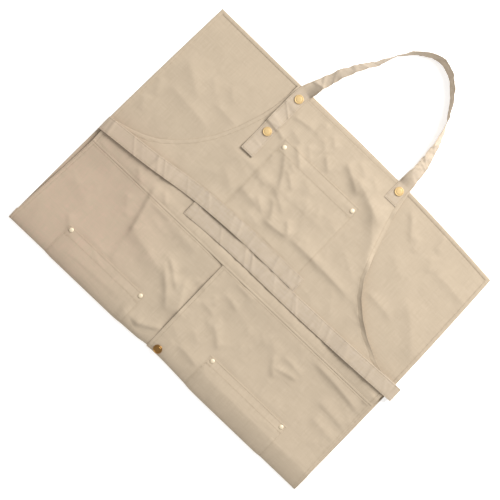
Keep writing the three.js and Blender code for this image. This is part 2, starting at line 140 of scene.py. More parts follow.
# Where the armholes come down to the legs' backs: over what width low and high up, and between what heights
Droop = namedtuple("Droop", "wide narrow start end")
DROOPS = (Droop(26.0, 9.0, (66.0, 110.0), (300.0, 320.0)), Droop(8.5, 8.5, (168.0, 206.0), (262.0, 286.0)))
DROOP_NARROWS = (150.0, 196.0)
DROOP_GAP = 0.2

# Creases: crest line, sideways bow, width of the slopes left and right of the line, height
Crease = namedtuple("Crease", "x0 y0 x1 y1 bow left right height")
BIB_CREASES = tuple(map(Crease._make, (
    (8, 289, 70, 254, 1, 18, 8, 2.9), (34, 282, 138, 239, 4, 24, 13, 4.0),
    (86, 272, 206, 140, 4, 46, 17, 3.5), (-32, 110, 34, 117, -2, 14, 6, 2.4),
    (14, 117, 196, 111, 3, 16, 7, 2.4), (4, 140, 28, 115, 0, 10, 5, 1.7),
    (-88, 230, -38, 158, 3, 14, 5, 2.1), (-60, 206, -22, 178, 1, 12, 5, 1.7),
    (-78, 248, -36, 214, 2, 11, 8, 2.3), (-70, 220, -40, 206, 0, 7, 6, 1.2),
    (-120, 279, -66, 288, 1, 12, 4, 1.4), (-126, 245, -98, 237, 0, 9, 3, 1.6),
    (-104, 262, -66, 252, 1, 10, 7, 1.0), (-62, 264, -34, 240, 0, 9, 7, 0.9),
    (-58, 316, -64, 280, 0, 8, 7, 1.1), (-40, 306, -18, 288, 0, 8, 6, 0.9),
    (62, 302, 92, 284, 0, 10, 8, 0.9), (-28, 216, 10, 196, 0, 12, 9, 0.8), (-26, 272, 2, 248, 0, 9, 5, 1.4),
    (-50, 290, -26, 268, 2, 10, 7, 1.1), (26, 304, 60, 290, 0, 9, 7, 1.0),
    (-66, 134, -34, 114, 0, 10, 6, 1.6), (-42, 150, -14, 112, 2, 9, 5, 1.5),
    (-104, 124, -44, 118, 0, 15, 9, 1.9), (-94, 159, -62, 155, 0, 9, 4, 0.9),
    (-56, 166, -4, 138, 1, 11, 6, 1.6), (-130, 162, -28, 163, 0, 9, 5, 0.5),
    (-190, 163, 96, 169, 2, 12, 8, 0.8), (-62, 102, -22, 92, 0, 10, 7, 1.0),
    (-160, 77, -30, 81, 0, 13, 4, 1.3), (-8, 86, 28, 82, 0, 9, 4, 0.9), (-14, 180, 54, 180, 0, 12, 8, 0.6),
    (44, 194, 92, 182, 0, 15, 11, 0.9), (-206, 160, -92, 145, 4, 18, 20, 1.5),
    (-148, 132, -98, 104, 0, 16, 14, 1.5), (110, 172, 176, 136, 0, 16, 14, 1.2),
    (-192, 26, -168, 4, 0, 9, 5, 1.2), (-256, 24, -228, 2, 0, 9, 6, 1.1), (336, 22, 330, -10, 0, 5, 4, 1.3),
)))
LEG_CREASES = tuple(map(Crease._make, (
    (-211, 32, -178, -92, 0, 24, 4, 2.5), (-188, -66, -174, -138, 0, 20, 6, 1.0),
    (-206, -62, -74, -92, 1, 27, 19, 3.3), (-104, -69, -39, -134, 3, 12, 7, 2.8),
    (-100, -56, -48, -94, 0, 9, 4, 1.7), (-112, -52, -72, -72, 0, 9, 6, 1.0),
    (-194, -8, -140, -9, 0, 8, 4, 1.1), (-30, -60, -54, -118, 0, 10, 6, 1.2),
    (-238, -22, -206, -62, 0, 12, 10, 1.0), (-132, -16, -66, -20, 2, 14, 9, 1.0),
    (-288, -122, -266, -146, 0, 8, 5, 1.0), (-106, -180, -52, -184, -1, 12, 4, 2.1),
    (-74, -185, -20, -156, -4, 10, 4, 2.4), (-262, -178, -96, -171, 2, 16, 10, 1.1),
    (-330, -72, -262, -92, 0, 26, 22, 1.1), (-300, -131, -56, -130, 0, 12, 4, 0.5),
    (44, -126, 300, -126, 0, 12, 4, 0.35), (12, -36, 58, -44, 2, 9, 6, 1.3),
    (-8, -74, 34, -80, 2, 9, 6, 1.2), (26, -100, 46, -72, 0, 6, 8, 0.9), (34, -86, 80, -122, 3, 13, 7, 1.8),
    (18, -120, 46, -136, 0, 9, 7, 0.9), (4, -48, 20, -66, 0, 7, 6, 0.8),
    (156, -52, 186, -88, -3, 8, 5, 1.6), (168, -72, 222, -58, 1, 9, 5, 1.9),
    (166, -46, 222, -48, 2, 8, 6, 1.2), (124, -32, 164, -56, 0, 14, 10, 0.9),
    (206, -14, 346, -28, 4, 14, 5, 2.2), (262, -59, 350, -66, 1, 14, 6, 1.4),
    (276, -88, 346, -93, 0, 15, 9, 1.8), (12, -8, 66, -9, 0, 8, 4, 1.0),
    (14, -160, 72, -166, 2, 12, 7, 1.6), (248, -176, 292, -182, 3, 8, 6, 1.0),
    (40, -166, 372, -168, 0, 12, 6, 0.6), (-400, 27, -190, 36, 0, 20, 26, 4.6),
    (206, 35, 430, 26, 0, 18, 27, 5.4), (-58, -58, -14, -132, 0, 9, 28, 3.4),
)))
BACK_CREASES = tuple(map(Crease._make, (
    (-330, 228, -254, 178, 2, 20, 16, 1.7), (-328, 168, -200, 156, 3, 15, 16, 1.6),
    (-242, 201, -172, 197, 0, 12, 8, 1.1), (-338, 172, -320, 134, 0, 10, 8, 0.9),
    (-336, 128, -322, 96, 0, 10, 8, 0.8), (-236, 246, -206, 220, 0, 10, 8, 0.7),
    (-270, 236, -240, 208, 0, 10, 8, 0.7), (152, 308, 196, 258, 2, 11, 5, 1.5),
    (196, 282, 212, 248, 0, 10, 7, 0.9), (232, 316, 240, 278, 0, 8, 6, 1.0),
    (238, 272, 258, 242, 0, 14, 11, 0.9), (256, 252, 350, 246, 2, 15, 10, 1.3),
    (254, 186, 346, 100, 6, 24, 16, 1.9), (192, 144, 270, 136, 2, 13, 8, 1.3),
    (184, 228, 232, 200, 0, 15, 12, 0.8),
)))
CREASE_POWER = 1.35
CREASE_END = 0.25
CREASE_GAIN = 1.3

# Fine crumple, drawn from a fixed seed
CRUMPLE_SEED = 23
CRUMPLE_COUNT = 260
CRUMPLE_BOX = (-350.0, -180.0, 340.0, 320.0)
CRUMPLE_LENGTH = (22.0, 60.0)
CRUMPLE_BOW = (-4.0, 4.0)
CRUMPLE_WIDTH = (3.5, 9.0)
CRUMPLE_HEIGHT = (0.10, 0.46)

# Seams pucker the cloth beside their stitches
PUCKER = 0.12
PUCKER_PERIOD = 12.5
PUCKER_WIDTH = 7.0
PUCKER_DRIFT = 3.0
PUCKER_WANDER = ((0.6, 31.0), (0.4, 17.3))

# Spacing of the grids, with close lines where an edge is turned and stitched
EDGE_LADDER = (0.0, 0.5, 1.4, 2.3, 4.0, 5.4, 6.2, 7.0, 8.2, 9.0, 9.8, 11.2, 13.0)
SEAM_LADDER = (0.0, 0.5, 1.4, 2.3, 3.0, 3.7, 5.0, 7.0, 9.0, 11.0)
WAIST_LADDER = (0.0, 0.6, 1.2, 1.9, 2.7, 3.4, 4.2, 5.6)
PLAIN_END = (0.0,)
BIB_COLUMNS = 206
LEG_COLUMNS = 118
TAPE_LADDER = (0.0, 0.4, 1.1, 1.7, 2.3, 2.9, 3.8, 5.5)
TAPE_CELLS = 8
CELL = 2.8
FLARE_Y = (47.0, 74.0)
FLARE_CELL = 1.1
BACK_CELL = 9.0
HIDDEN_Y = 50.0

# Turned edges: width of the hem, height of its inner step, how far the edge thins and over what width
Edge = namedtuple("Edge", "hem step thin taper")
BIB_HEM = Edge(9.4, 0.1, 0.3, 0.8)
WAIST_LAP = Edge(11.0, 0.1, 0.15, 0.8)
LEG_HEM = Edge(9.4, 0.2, 0.4, 1.1)
LEG_HEM_INSIDE = Edge(7.6, 0.8, 0.5, 1.6)
PATCH_EDGE = Edge(8.0, 0.1, 0.9, 14.0)
CHEST_MOUTH = Edge(25.5, 0.14, 0.8, 14.0)
THIGH_MOUTH = Edge(19.5, 0.14, 0.65, 22.0)
HEM_STEP_EASE = 0.7
GROOVE_WIDTH = 0.9
PATCH_SNUG = 10.0
FACES_DOWN = -0.5
PATCH_BED = 0.4
PATCH_BED_EASE = (1.0, 6.0)
THIN_EDGE = 0.14
MOUTH_LIFT = 0.4
MOUTH_LIFT_WIDTH = 16.0
MOUTH_LIFT_EASE = 50.0
MOUTH_STITCH = 1.5
MOUTH_GROOVE = 0.4
TACK_COLUMNS = 7
WAIST_STITCH = 5.0
LEG_WAIST_Y = -4.4
LAPPED_ROWS = 5
LAP_CLEAR = 10.0
SEAM_RIDGE = 1.15
RIDGE_RISE = (-1.0, -1.6)
RIDGE_FALL = (-4.0, -38.0)

# Neck strap: its middle line, and by how many degrees it is turned up on edge
StrapRow = namedtuple("StrapRow", "x y turn")
STRAP_ROWS = tuple(map(StrapRow._make, (
    (-131.5, 175, 0), (-131.5, 225, 0), (-131.5, 280, 0), (-128, 327, 0), (-119.5, 349.5, 32),
    (-112, 374, 43), (-89, 423.5, 58), (-73, 448.5, 65), (-49.5, 493.5, 88), (-18, 525, 100), (8, 535, 103),
    (30, 531, 103), (50, 518.5, 101), (82, 480, 94), (99, 445, 76), (108.5, 405, 56), (114, 375, 39),
    (115.4, 348, 25), (116.5, 328, 0), (116.5, 300, 0), (116.5, 288, 0),
)))
STRAP_LEAVES = 336.0
STRAP_LANDS = 374.0
STRAP_PITCH = 1.7
CURVE_STEPS = 40
TAIL_LIFT = 1.6
TAIL_LIFT_SPAN = 16.0
SNAP_HOLD_SPAN = 26.0
SNAP_FLAT = (9.0, 30.0)
STRAP_SETTLE_ROWS = 2
STRAP_EASE_ROWS = 6
SEWN_SHARE = 0.2
SEWN_SPAN = 14.0
TAPE_GROOVE = 0.43
TAPE_GROOVE_WIDTH = 0.8
TAPE_EDGE_SHARE = 0.45
TAPE_EDGE_WIDTH = 1.1
TAPE_PROBES = 9
TAPE_END_ROWS = 2
WRINKLE_SLANT = 0.12
STRAP_CRUMPLE = 1.6
STRAP_SMOOTH_END = 40.0
RIPPLE = 0.3
RIPPLE_LENGTHS = (4.3, 7.1)
RIPPLE_LAG = 1.3

# Wrinkles across the strap: which side of the loop, the place, the width above and below it, the height
Wrinkle = namedtuple("Wrinkle", "side y above below height")
STRAP_WRINKLES = tuple(map(Wrinkle._make, (
    (-1, 243, 16, 2.6, 1.9), (-1, 291, 9, 4, 0.8), (-1, 350, 12, 6, 1.5), (-1, 392, 10, 7, 0.9),
    (-1, 428, 10, 8, 0.7), (1, 358, 9, 5, 1.3), (1, 391, 10, 6, 1.3), (1, 424, 10, 8, 0.7),
)))

# Cross creases of strap and ties, at a place along the tape, and how small ones are strewn
TapeCrease = namedtuple("TapeCrease", "at slant width height")
TAPE_CRUMPLE_SEED = 7
TAPE_CRUMPLE_PITCH = 11.0
TAPE_CRUMPLE_SLANT = (-0.9, 0.9)
TAPE_CRUMPLE_WIDTH = (2.0, 5.0)
TAPE_CRUMPLE_HEIGHT = (0.2, 0.8)

# Waist ties: the side they come from, where they turn, their middle line, creases, and rise and fall
TieRow = namedtuple("TieRow", "x y")
Tie = namedtuple("Tie", "name side turn_x rows creases lift_x lift fall")
TIES = (
    Tie("right_waist_tie", 1, 364,
        (TieRow(364, 43.5), TieRow(250, 39.5), TieRow(100, 37), TieRow(0, 37.5), TieRow(-60, 36.5),
         TieRow(-138, 32)),
        (TapeCrease(303, 0.0, 4, 0.9), TapeCrease(243, 0.3, 6, 0.8), TapeCrease(152, -0.2, 7, 0.8),
         TapeCrease(64, 0.2, 8, 0.7), TapeCrease(-14, 0.1, 6, 0.6), TapeCrease(-62, 0.0, 5, 0.6)),
        300.0, 1.6, 1.0),
    Tie("left_waist_tie", -1, -353.5,
        (TieRow(-353.5, 38), TieRow(-250, 47.5), TieRow(-150, 60.4), TieRow(-60, 66.05), TieRow(0, 66.9),
         TieRow(102, 66.4)),
        (TapeCrease(-337, 0.2, 4, 1.0), TapeCrease(-236, -0.1, 5, 1.1), TapeCrease(-208, 0.2, 6, 0.9),
         TapeCrease(-112, -0.5, 5, 1.2), TapeCrease(-36, -0.6, 7, 1.0), TapeCrease(44, 0.0, 6, 0.7),
         TapeCrease(72, 0.0, 5, 0.6)),
        -300.0, 3.0, 2.3),
)
TIE_PITCH = 1.9
TIE_SPREAD = 0.2
TIE_PAST = 2.0
TIE_TURN_CLEAR = 1.0
TIE_SEWN = 36.0
TIE_SEWN_STEPS = 14
TIE_TURN_STEPS = 10
TIE_BACK = 2.6
TIE_SEWN_SHARE = 0.75
TIE_END_SHARE = 0.42
TIE_END_SPAN = 110.0
TIE_REACH = 12.0
TIE_LIFT_SPAN = 90.0
TIE_FALL_SPAN = 24.0
WAIST_INSET = 3.0

# Metal caps: rings that step in from the rim, each with its rise, after the rim's own wall
CapStep = namedtuple("CapStep", "inward rise")
Cap = namedtuple("Cap", "radius foot wall steps")
RIVET = Cap(4.3, 4.0, 0.45, (CapStep(0.35, 0.35), CapStep(0.75, 0.4), CapStep(1.1, 0.28), CapStep(1.1, 0.1)))
SNAP = Cap(8.5, 7.2, 1.3, (
    CapStep(0.35, 0.45), CapStep(0.55, 0.35), CapStep(0.6, 0.0), CapStep(0.4, -0.5), CapStep(0.9, 0.0),
    CapStep(0.4, 0.52), CapStep(1.3, 0.1), CapStep(1.8, 0.05),
))
CAP_SIDES = 48
CAP_BEVEL = 0.12
CAP_BEVEL_STEPS = 2
CAP_BEVEL_ANGLE = math.radians(20.0)
CAP_SMOOTH_ANGLE = math.radians(50.0)
CAP_FACING = 0.9
CAP_SEAT = 0.12
PIN_WIDTH = 11.0
RIVET_NODES = (
    "chest_rivet_left", "chest_rivet_right", "left_leg_rivet_outer", "left_leg_rivet_inner",
    "right_leg_rivet_inner", "right_leg_rivet_outer",
)
NECK_SNAP_NODES = ("neck_snap_upper_left", "neck_snap_lower_left", "neck_snap_right")
LEG_SNAP_NODES = ("leg_snap",)

# Stage, in metres: the floor, the key light's direction, distance and size, and the height that is in view
FLOOR_SIZE = 14.0
FLOOR_DROP = 0.0004
KEY_WAY = (0.28, 0.76, 0.58)
KEY_DISTANCE = 2.6
KEY_SIZE = 1.73
VIEW_HEIGHT = 0.006

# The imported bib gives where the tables' origin lies in the part's own frame.
BIB_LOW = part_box("bib_panel")[0]
SHIFT = np.array((BIB_LOW.x / MM - PACKED_BIB_LEFT, BIB_LOW.y / MM - SEAM_EDGE, 0.0))


def node_box(name):
    """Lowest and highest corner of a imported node, in the tables' frame."""
    low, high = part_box(name)
    return np.array(low) / MM - SHIFT, np.array(high) / MM - SHIFT


CHEST_LOW, CHEST_HIGH = node_box("chest_pocket")


class ApronSizes(bpy.types.PropertyGroup):
    """Sizes of cloth, hems and stitches."""

    cloth: bpy.props.FloatProperty(
        name="Canvas", description="Thickness of one layer of canvas", default=CLOTH * MM, unit="LENGTH")
    webbing: bpy.props.FloatProperty(
        name="Strap cloth", description="Thickness of the doubled cloth of strap and ties",
        default=0.0013, unit="LENGTH")
    strap_width: bpy.props.FloatProperty(
        name="Strap width", description="Width of the neck strap", default=0.0275, unit="LENGTH")
    tie_width: bpy.props.FloatProperty(
        name="Tie width", description="Width of the waist ties", default=0.029, unit="LENGTH")
    hem_stitch: bpy.props.FloatProperty(
        name="Hem stitching", description="Distance of the stitches from a hemmed edge",
        default=0.0070, unit="LENGTH")
    edge_stitch: bpy.props.FloatProperty(
        name="Edge stitching", description="Distance of the stitches from a patch or tie edge",
        default=0.0023, unit="LENGTH")
    groove: bpy.props.FloatProperty(
        name="Stitch groove", description="How far the stitches draw the cloth in", default=0.0004,
        unit="LENGTH")
    stitch: bpy.props.FloatProperty(
        name="Stitch", description="Length of one stitch", default=0.0025, unit="LENGTH")
    stitch_pitch: bpy.props.FloatProperty(
        name="Stitch pitch", description="Distance between stitches", default=0.0033, unit="LENGTH")
    thread: bpy.props.FloatProperty(
        name="Thread", description="Thickness of the sewing thread", default=0.0007, unit="LENGTH")
    thread_pitch: bpy.props.FloatProperty(
        name="Weave", description="Distance between drawn threads of the canvas", default=0.0016,
        unit="LENGTH")


class ApronColours(bpy.types.PropertyGroup):
    """Colours of the finishes, as sRGB hex values."""

    canvas: bpy.props.StringProperty(
        name="Canvas", description="Khaki cotton canvas", default="#C3B29B")
    canvas_shade: bpy.props.StringProperty(
        name="Canvas shade", description="Darker threads and blotches of the canvas", default="#BBAA93")
    # Painted shade: a rosier, slightly darker tone laid over the left thigh, where the light falls off
    thigh_painted_shade: bpy.props.StringProperty(
        name="Rosy dye", description="Wash of rosier dye over the left thigh", default="#C5AC97")
    tape: bpy.props.StringProperty(
        name="Tape", description="Doubled cloth of strap and ties", default="#C4B4A1")
    thread: bpy.props.StringProperty(
        name="Thread", description="Sewing thread", default="#B5A48B")
    brass: bpy.props.StringProperty(
        name="Brass", description="Snap caps on the neck strap", default="#DFC089")
    # Painted shade: the snap on the fold is the same brass as the others, painted darker for the shade and
    # dark reflections it has there
    fold_snap_painted_shade: bpy.props.StringProperty(
        name="Dark brass", description="Snap cap on the fold", default="#A47B48")
    rivet: bpy.props.StringProperty(
        name="Rivet", description="Bright rivet caps", default="#F3E3C6")
    floor: bpy.props.StringProperty(
        name="Floor", description="Pale floor", default="#FAFAFA")


class ApronStage(bpy.types.PropertyGroup):
    """Camera and light."""

    lens: bpy.props.FloatProperty(
        name="Lens", description="Focal length", default=100.0, unit="CAMERA")
    view_width: bpy.props.FloatProperty(
        name="View", description="Width of the view at the apron", default=0.8993, unit="LENGTH")
    view_x: bpy.props.FloatProperty(
        name="View middle X", description="Middle of the view", default=-0.0072, unit="LENGTH")
    view_y: bpy.props.FloatProperty(
        name="View middle Y", description="Middle of the view", default=-0.1154, unit="LENGTH")
    turn: bpy.props.FloatProperty(
        name="Turn", description="Turn of the camera round its own axis", default=math.radians(43.66),
        subtype="ANGLE")
    key: bpy.props.FloatProperty(
        name="Key", description="Power of the main soft light", default=86.0, unit="POWER")
    sky: bpy.props.FloatProperty(
        name="Sky", description="Strength of the even light from all round", default=0.55)
    floor_glow: bpy.props.FloatProperty(
        name="Floor glow", description="Light that comes through the pale floor", default=0.5)


def mm(length):
    """A property's metres as millimetres."""
    return length / MM


def smooth(low, high, value):
    """Zero at low, one at high, eased at both."""
    share = np.clip((value - low) / (high - low), 0.0, 1.0)
    return share * share * (3.0 - 2.0 * share)


def hump(off, width):
    """A soft rise that dies out about two widths away."""
    return np.exp(-((off / width) ** 2))


def arch(share):
    """Zero at both ends, one in the middle."""
    return 4.0 * share * (1.0 - share)


def stacked(*parts):
    """Points or directions from their coordinates."""
    return np.stack(np.broadcast_arrays(*parts), axis=-1)


def unit(vectors):
    """Vectors brought to a length of one."""
    return vectors / np.maximum(np.linalg.norm(vectors, axis=-1, keepdims=True), 1e-9)


def way_along(line):
    """Length of the way along a line of points, at each of them."""
    return np.concatenate(((0.0,), np.cumsum(np.linalg.norm(np.diff(line, axis=0), axis=1))))


def crease_height(crease, x, y):
    """Height that one crease adds, zero at both of its ends."""
    run = np.array((crease.x1 - crease.x0, crease.y1 - crease.y0))
    length = np.hypot(*run)
    along, across = run / length
    share = ((x - crease.x0) * along + (y - crease.y0) * across) / length
    off = (y - crease.y0) * along - (x - crease.x0) * across - crease.bow * arch(share)
    width = np.where(off > 0.0, crease.left, crease.right)
    ends = smooth(0.0, CREASE_END, share) * (1.0 - smooth(1.0 - CREASE_END, 1.0, share))
    return crease.height * ends * np.exp(-((np.abs(off) / width) ** CREASE_POWER))


def creased(table, x, y):
    """Height of all creases of a table."""
    return CREASE_GAIN * sum(crease_height(crease, x, y) for crease in table)


def crumple_table():
    """Small creases strewn over the front, always the same ones."""
    draw = np.random.default_rng(CRUMPLE_SEED)
    left, low, right, high = CRUMPLE_BOX
    rows = []
    for _ in range(CRUMPLE_COUNT):
        x, y = draw.uniform(left, right), draw.uniform(low, high)
        turn = draw.uniform(0.0, math.pi)
        half = draw.uniform(*CRUMPLE_LENGTH) / 2.0
        dx, dy = half * math.cos(turn), half * math.sin(turn)
        widths = draw.uniform(*CRUMPLE_WIDTH, 2)
        bow = draw.uniform(*CRUMPLE_BOW)
        rows.append(Crease(x - dx, y - dy, x + dx, y + dy, bow, *widths, draw.uniform(*CRUMPLE_HEIGHT)))
    return tuple(rows)


CRUMPLE = crumple_table()
FRONT_CREASES = BIB_CREASES + LEG_CREASES + CRUMPLE


def wide_fold(x):
    """One where the right leg folds over in a wide roll, zero on the left."""
    return smooth(*WIDE_FOLD, x)


def loose_front(x, y):
    """Underside of the front layer before the rivets press it down."""
    puff = FOLD_PUFF * smooth(*PUFF_EASE, -y) + ROLL_PUFF * smooth(*ROLL_EASE, -y) * wide_fold(x)
    return LAY + puff + creased(FRONT_CREASES, x, y)


def over_lap(x, left_ease, right_ease):
    """One over the strip where the right leg lies on the left one, falling away where an ease is given."""
    left = smooth(SPLIT_X - left_ease, SPLIT_X, x) if left_ease else 1.0
    right = 1.0 - smooth(LAP_X, LAP_X + right_ease, x) if right_ease else 1.0
    return left * right


# Bib edges, drawn through their table in short steps and eased
EDGE_Y = np.linspace(SEAM_EDGE, BIB_TOP_Y, EDGE_STEPS)
EASE_KERNEL = np.hanning(EASE_STEPS) / np.hanning(EASE_STEPS).sum()


def eased_edge(side):
    """X of one bib edge at each of the steps."""
    rough = np.interp(EDGE_Y, [row.y for row in BIB_ROWS], [getattr(row, side) for row in BIB_ROWS])
    return np.convolve(np.pad(rough, EASE_STEPS // 2, mode="edge"), EASE_KERNEL, mode="valid")


EDGES = {side: eased_edge(side) for side in ("left", "right")}
SLOPES = {side: np.clip(np.gradient(EDGES[side], EDGE_Y), -LEAN_LIMIT, LEAN_LIMIT) for side in EDGES}
LEANS = {side: np.sqrt(1.0 + SLOPES[side] ** 2) for side in EDGES}


def edge_at(side, y):
    """X of a bib edge and how much longer its slanted way is than its height."""
    return np.interp(y, EDGE_Y, EDGES[side]), np.interp(y, EDGE_Y, LEANS[side])


def edge_room(x, y):
    """Distance inwards from the bib's left and right edge."""
    left, left_lean = edge_at("left", y)
    right, right_lean = edge_at("right", y)
    return (x - left) / left_lean, (right - x) / right_lean


def bib_shape(x, y):
    """What the bib adds to the front layer: the lap over the legs and the curled edge."""
    right = edge_room(x, y)[1]
    seam = 1.0 - smooth(LEG_TOP, LEG_TOP + SEAM_EASE, y)
    strip = over_lap(x + LAP_EASE / 2, LAP_EASE, 0) * over_lap(x - LAP_EASE / 2, 0, LAP_EASE)
    curl = EDGE_CURL * np.exp(-np.maximum(right, 0.0) / CURL_WIDTH) * hump(y - CURL_Y, CURL_SPAN)
    return LIFTED_LAYER * seam * (1.0 + strip) + curl


def edge_relief(room, edge, stitch, groove):
    """Height of a turned edge: its hem, the drawn-in stitches and the thinned edge itself."""
    hemmed = edge.step * (1.0 - smooth(edge.hem - HEM_STEP_EASE, edge.hem + HEM_STEP_EASE, room))
    drawn = groove * hump(room - stitch, GROOVE_WIDTH)
    thinned = edge.thin * (1.0 - smooth(0.0, edge.taper, room))
    return hemmed - drawn - thinned


def pucker(along, room, stitch):
    """Small ripples beside a row of stitches."""
    wander = sum(share * np.sin(along / length) for share, length in PUCKER_WANDER)
    wave = np.sin(2.0 * math.pi * along / PUCKER_PERIOD + PUCKER_DRIFT * wander)
    return PUCKER * wave * hump(room - stitch, PUCKER_WIDTH)


def cells(start, stop):
    """How many cells of a grid fit between two places."""
    return max(2, int(abs(stop - start) / CELL))


def ladder(start, stop, near, far, count):
    """Places from start to stop, with close rungs at both ends and even steps between them."""
    sign = 1.0 if stop > start else -1.0
    first = start + sign * np.array(near)
    last = (stop - sign * np.array(far))[::-1]
    middle = np.linspace(first[-1], last[0], count + 1)[1:-1]
    return np.concatenate((first, middle, last))


def snug(room):
    """Zero where a patch is sewn down along its edge, one a little way in."""
    return smooth(0.0, PATCH_SNUG, room)


def patch_bed(room):
    """How far cloth is pressed in under a patch, at a distance inwards from the patch's edge."""
    return PATCH_BED * smooth(*PATCH_BED_EASE, room)


def chest_room(x, y):
    """Distance inwards from the sewn edges of the chest pocket."""
    return np.minimum(np.minimum(x - CHEST_LOW[0], CHEST_HIGH[0] - x), y - CHEST_LOW[1])


def chest_lift(x, y):
    """How far the back of the chest pocket lies over the underside of the front layer."""
    room = chest_room(x, y)
    mouth = MOUTH_LIFT * hump(CHEST_HIGH[1] - y, MOUTH_LIFT_WIDTH) * smooth(0.0, MOUTH_LIFT_EASE, room)
    return CLOTH + SEWN_GAP + GAP * snug(room) + mouth + bib_shape(x, y)


def leg_pocket_lift():
    """The same for a thigh pocket near its mouth."""
    return CLOTH + SEWN_GAP + GAP


def cap_place(name):
    """Middle of the underside of a packed cap, and the way it faces."""
    points = np.array([v.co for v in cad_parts[name].data.vertices]) / MM - SHIFT
    middle = points.mean(axis=0)
    axis = np.linalg.svd(points - middle, full_matrices=False)[2][2]
    axis = axis if axis[2] > 0 else -axis
    return middle + axis * ((points - middle) @ axis).min(), axis


def rivet_pins():
    """Where rivets press the cloth down, and by how much, so that it meets each packed cap."""
    pins = []
    for name in RIVET_NODES:
        place = cap_place(name)[0]
        x, y = place[0], place[1]
        lift = chest_lift(x, y) if y > SEAM_EDGE else leg_pocket_lift()
        pins.append((x, y, place[2] - CAP_SEAT - CLOTH - lift - loose_front(np.array(x), np.array(y))))
    return pins


PINS = rivet_pins()


def front_under(x, y):
    """Underside of the front layer."""
    height = loose_front(x, y)
    for pin_x, pin_y, drop in PINS:
        height = height + drop * hump(np.hypot(x - pin_x, y - pin_y), PIN_WIDTH)
    return height


def pocket_end(leg):
    """Height at which a thigh pocket ends behind the fold."""
    return FOLD_Y + POCKET_DEPTH - (leg.top - FOLD_Y)


def back_height(leg, x, y):
    """Underside of a leg's back: raised over its own pocket, and over the other leg in the lapped strip."""
    low, high = sorted((leg.outer, leg.near))
    end = pocket_end(leg)
    across = smooth(low - BACK_LIFT_EASE, low, x) * (1.0 - smooth(high, high + BACK_LIFT_EASE, x))
    down = 1.0 - smooth(end, end + BACK_LIFT_EASE, y)
    lapped = over_lap(x, LAP_EASE, 0) if leg.inner == LAP_X else 0.0
    return LIFTED_LAYER * np.maximum(across * down, lapped) + creased(BACK_CREASES, x, y)


def bib_under(x, y):
    """Underside of the bib, whose armholes come down to the legs' backs."""
    height = front_under(x, y) + bib_shape(x, y)
    for leg, room, droop in zip(LEGS, edge_room(x, y), DROOPS):
        width = droop.wide + (droop.narrow - droop.wide) * smooth(*DROOP_NARROWS, y)
        down = hump(room, width) * smooth(*droop.start, y) * (1.0 - smooth(*droop.end, y))
        height = height + down * (back_height(leg, x, y) + CLOTH + DROOP_GAP - height)
    return height


def in_chest(x, y):
    """Whether a place is under the chest pocket."""
    across = (x >= CHEST_LOW[0]) & (x <= CHEST_HIGH[0])
    return across & (y >= CHEST_LOW[1]) & (y <= CHEST_HIGH[1])


def bib_top(x, y):
    """Top of the bib with the pocket on it, as the strap and ties meet it."""
    return bib_under(x, y) + CLOTH + np.where(in_chest(x, y), CLOTH + SEWN_GAP + GAP + MOUTH_LIFT, 0.0)


def linear(colour):
    """An sRGB hex value as the linear colour that a shader takes."""
    parts = [int(colour[i:i + 2], 16) / 255.0 for i in (1, 3, 5)]
    return tuple(c / 12.92 if c <= 0.04045 else ((c + 0.055) / 1.055) ** 2.4 for c in parts) + (1.0,)


def new_material(name):
    """An empty material and its shader."""
    material = bpy.data.materials.new(name)
    material.use_nodes = True
    tree = material.node_tree
    return material, tree, tree.nodes["Principled BSDF"]


def add_node(tree, kind, values, **settings):
    """A node with its settings, and its inputs set or linked."""
    made = tree.nodes.new(kind)
    for name, value in settings.items():
        setattr(made, name, value)
    for name, value in values.items():
        if isinstance(value, bpy.types.NodeSocket):
            tree.links.new(value, made.inputs[name])
        else:
            made.inputs[name].default_value = value
    return made


# Middle of the painted shade over the left thigh, a rosier and slightly darker tone where the light falls
# off, in the part's frame, and where it starts to fade and ends, in metres
THIGH_SHADE_PLACE = (-0.31, -0.28, 0.0)
THIGH_SHADE_REACH = (0.06, 0.26)

# Real sizes of the patterns in millimetres: thick places in threads, clouds of dye, plies, tumbling marks
SLUB_WIDTH = 1.6
SLUB_LENGTH = 28.0
DYE_CLOUD = 45.0
THREAD_PLY = 0.6
TUMBLE_MARK = 1.1


def bands_for(period):
    """Scale of a wave texture whose bands repeat at a period."""
    return math.pi / 10.0 / period


def cells_for(size):
    """Scale of a noise texture whose cells are a size in millimetres."""
    return 1.0 / (size * MM)


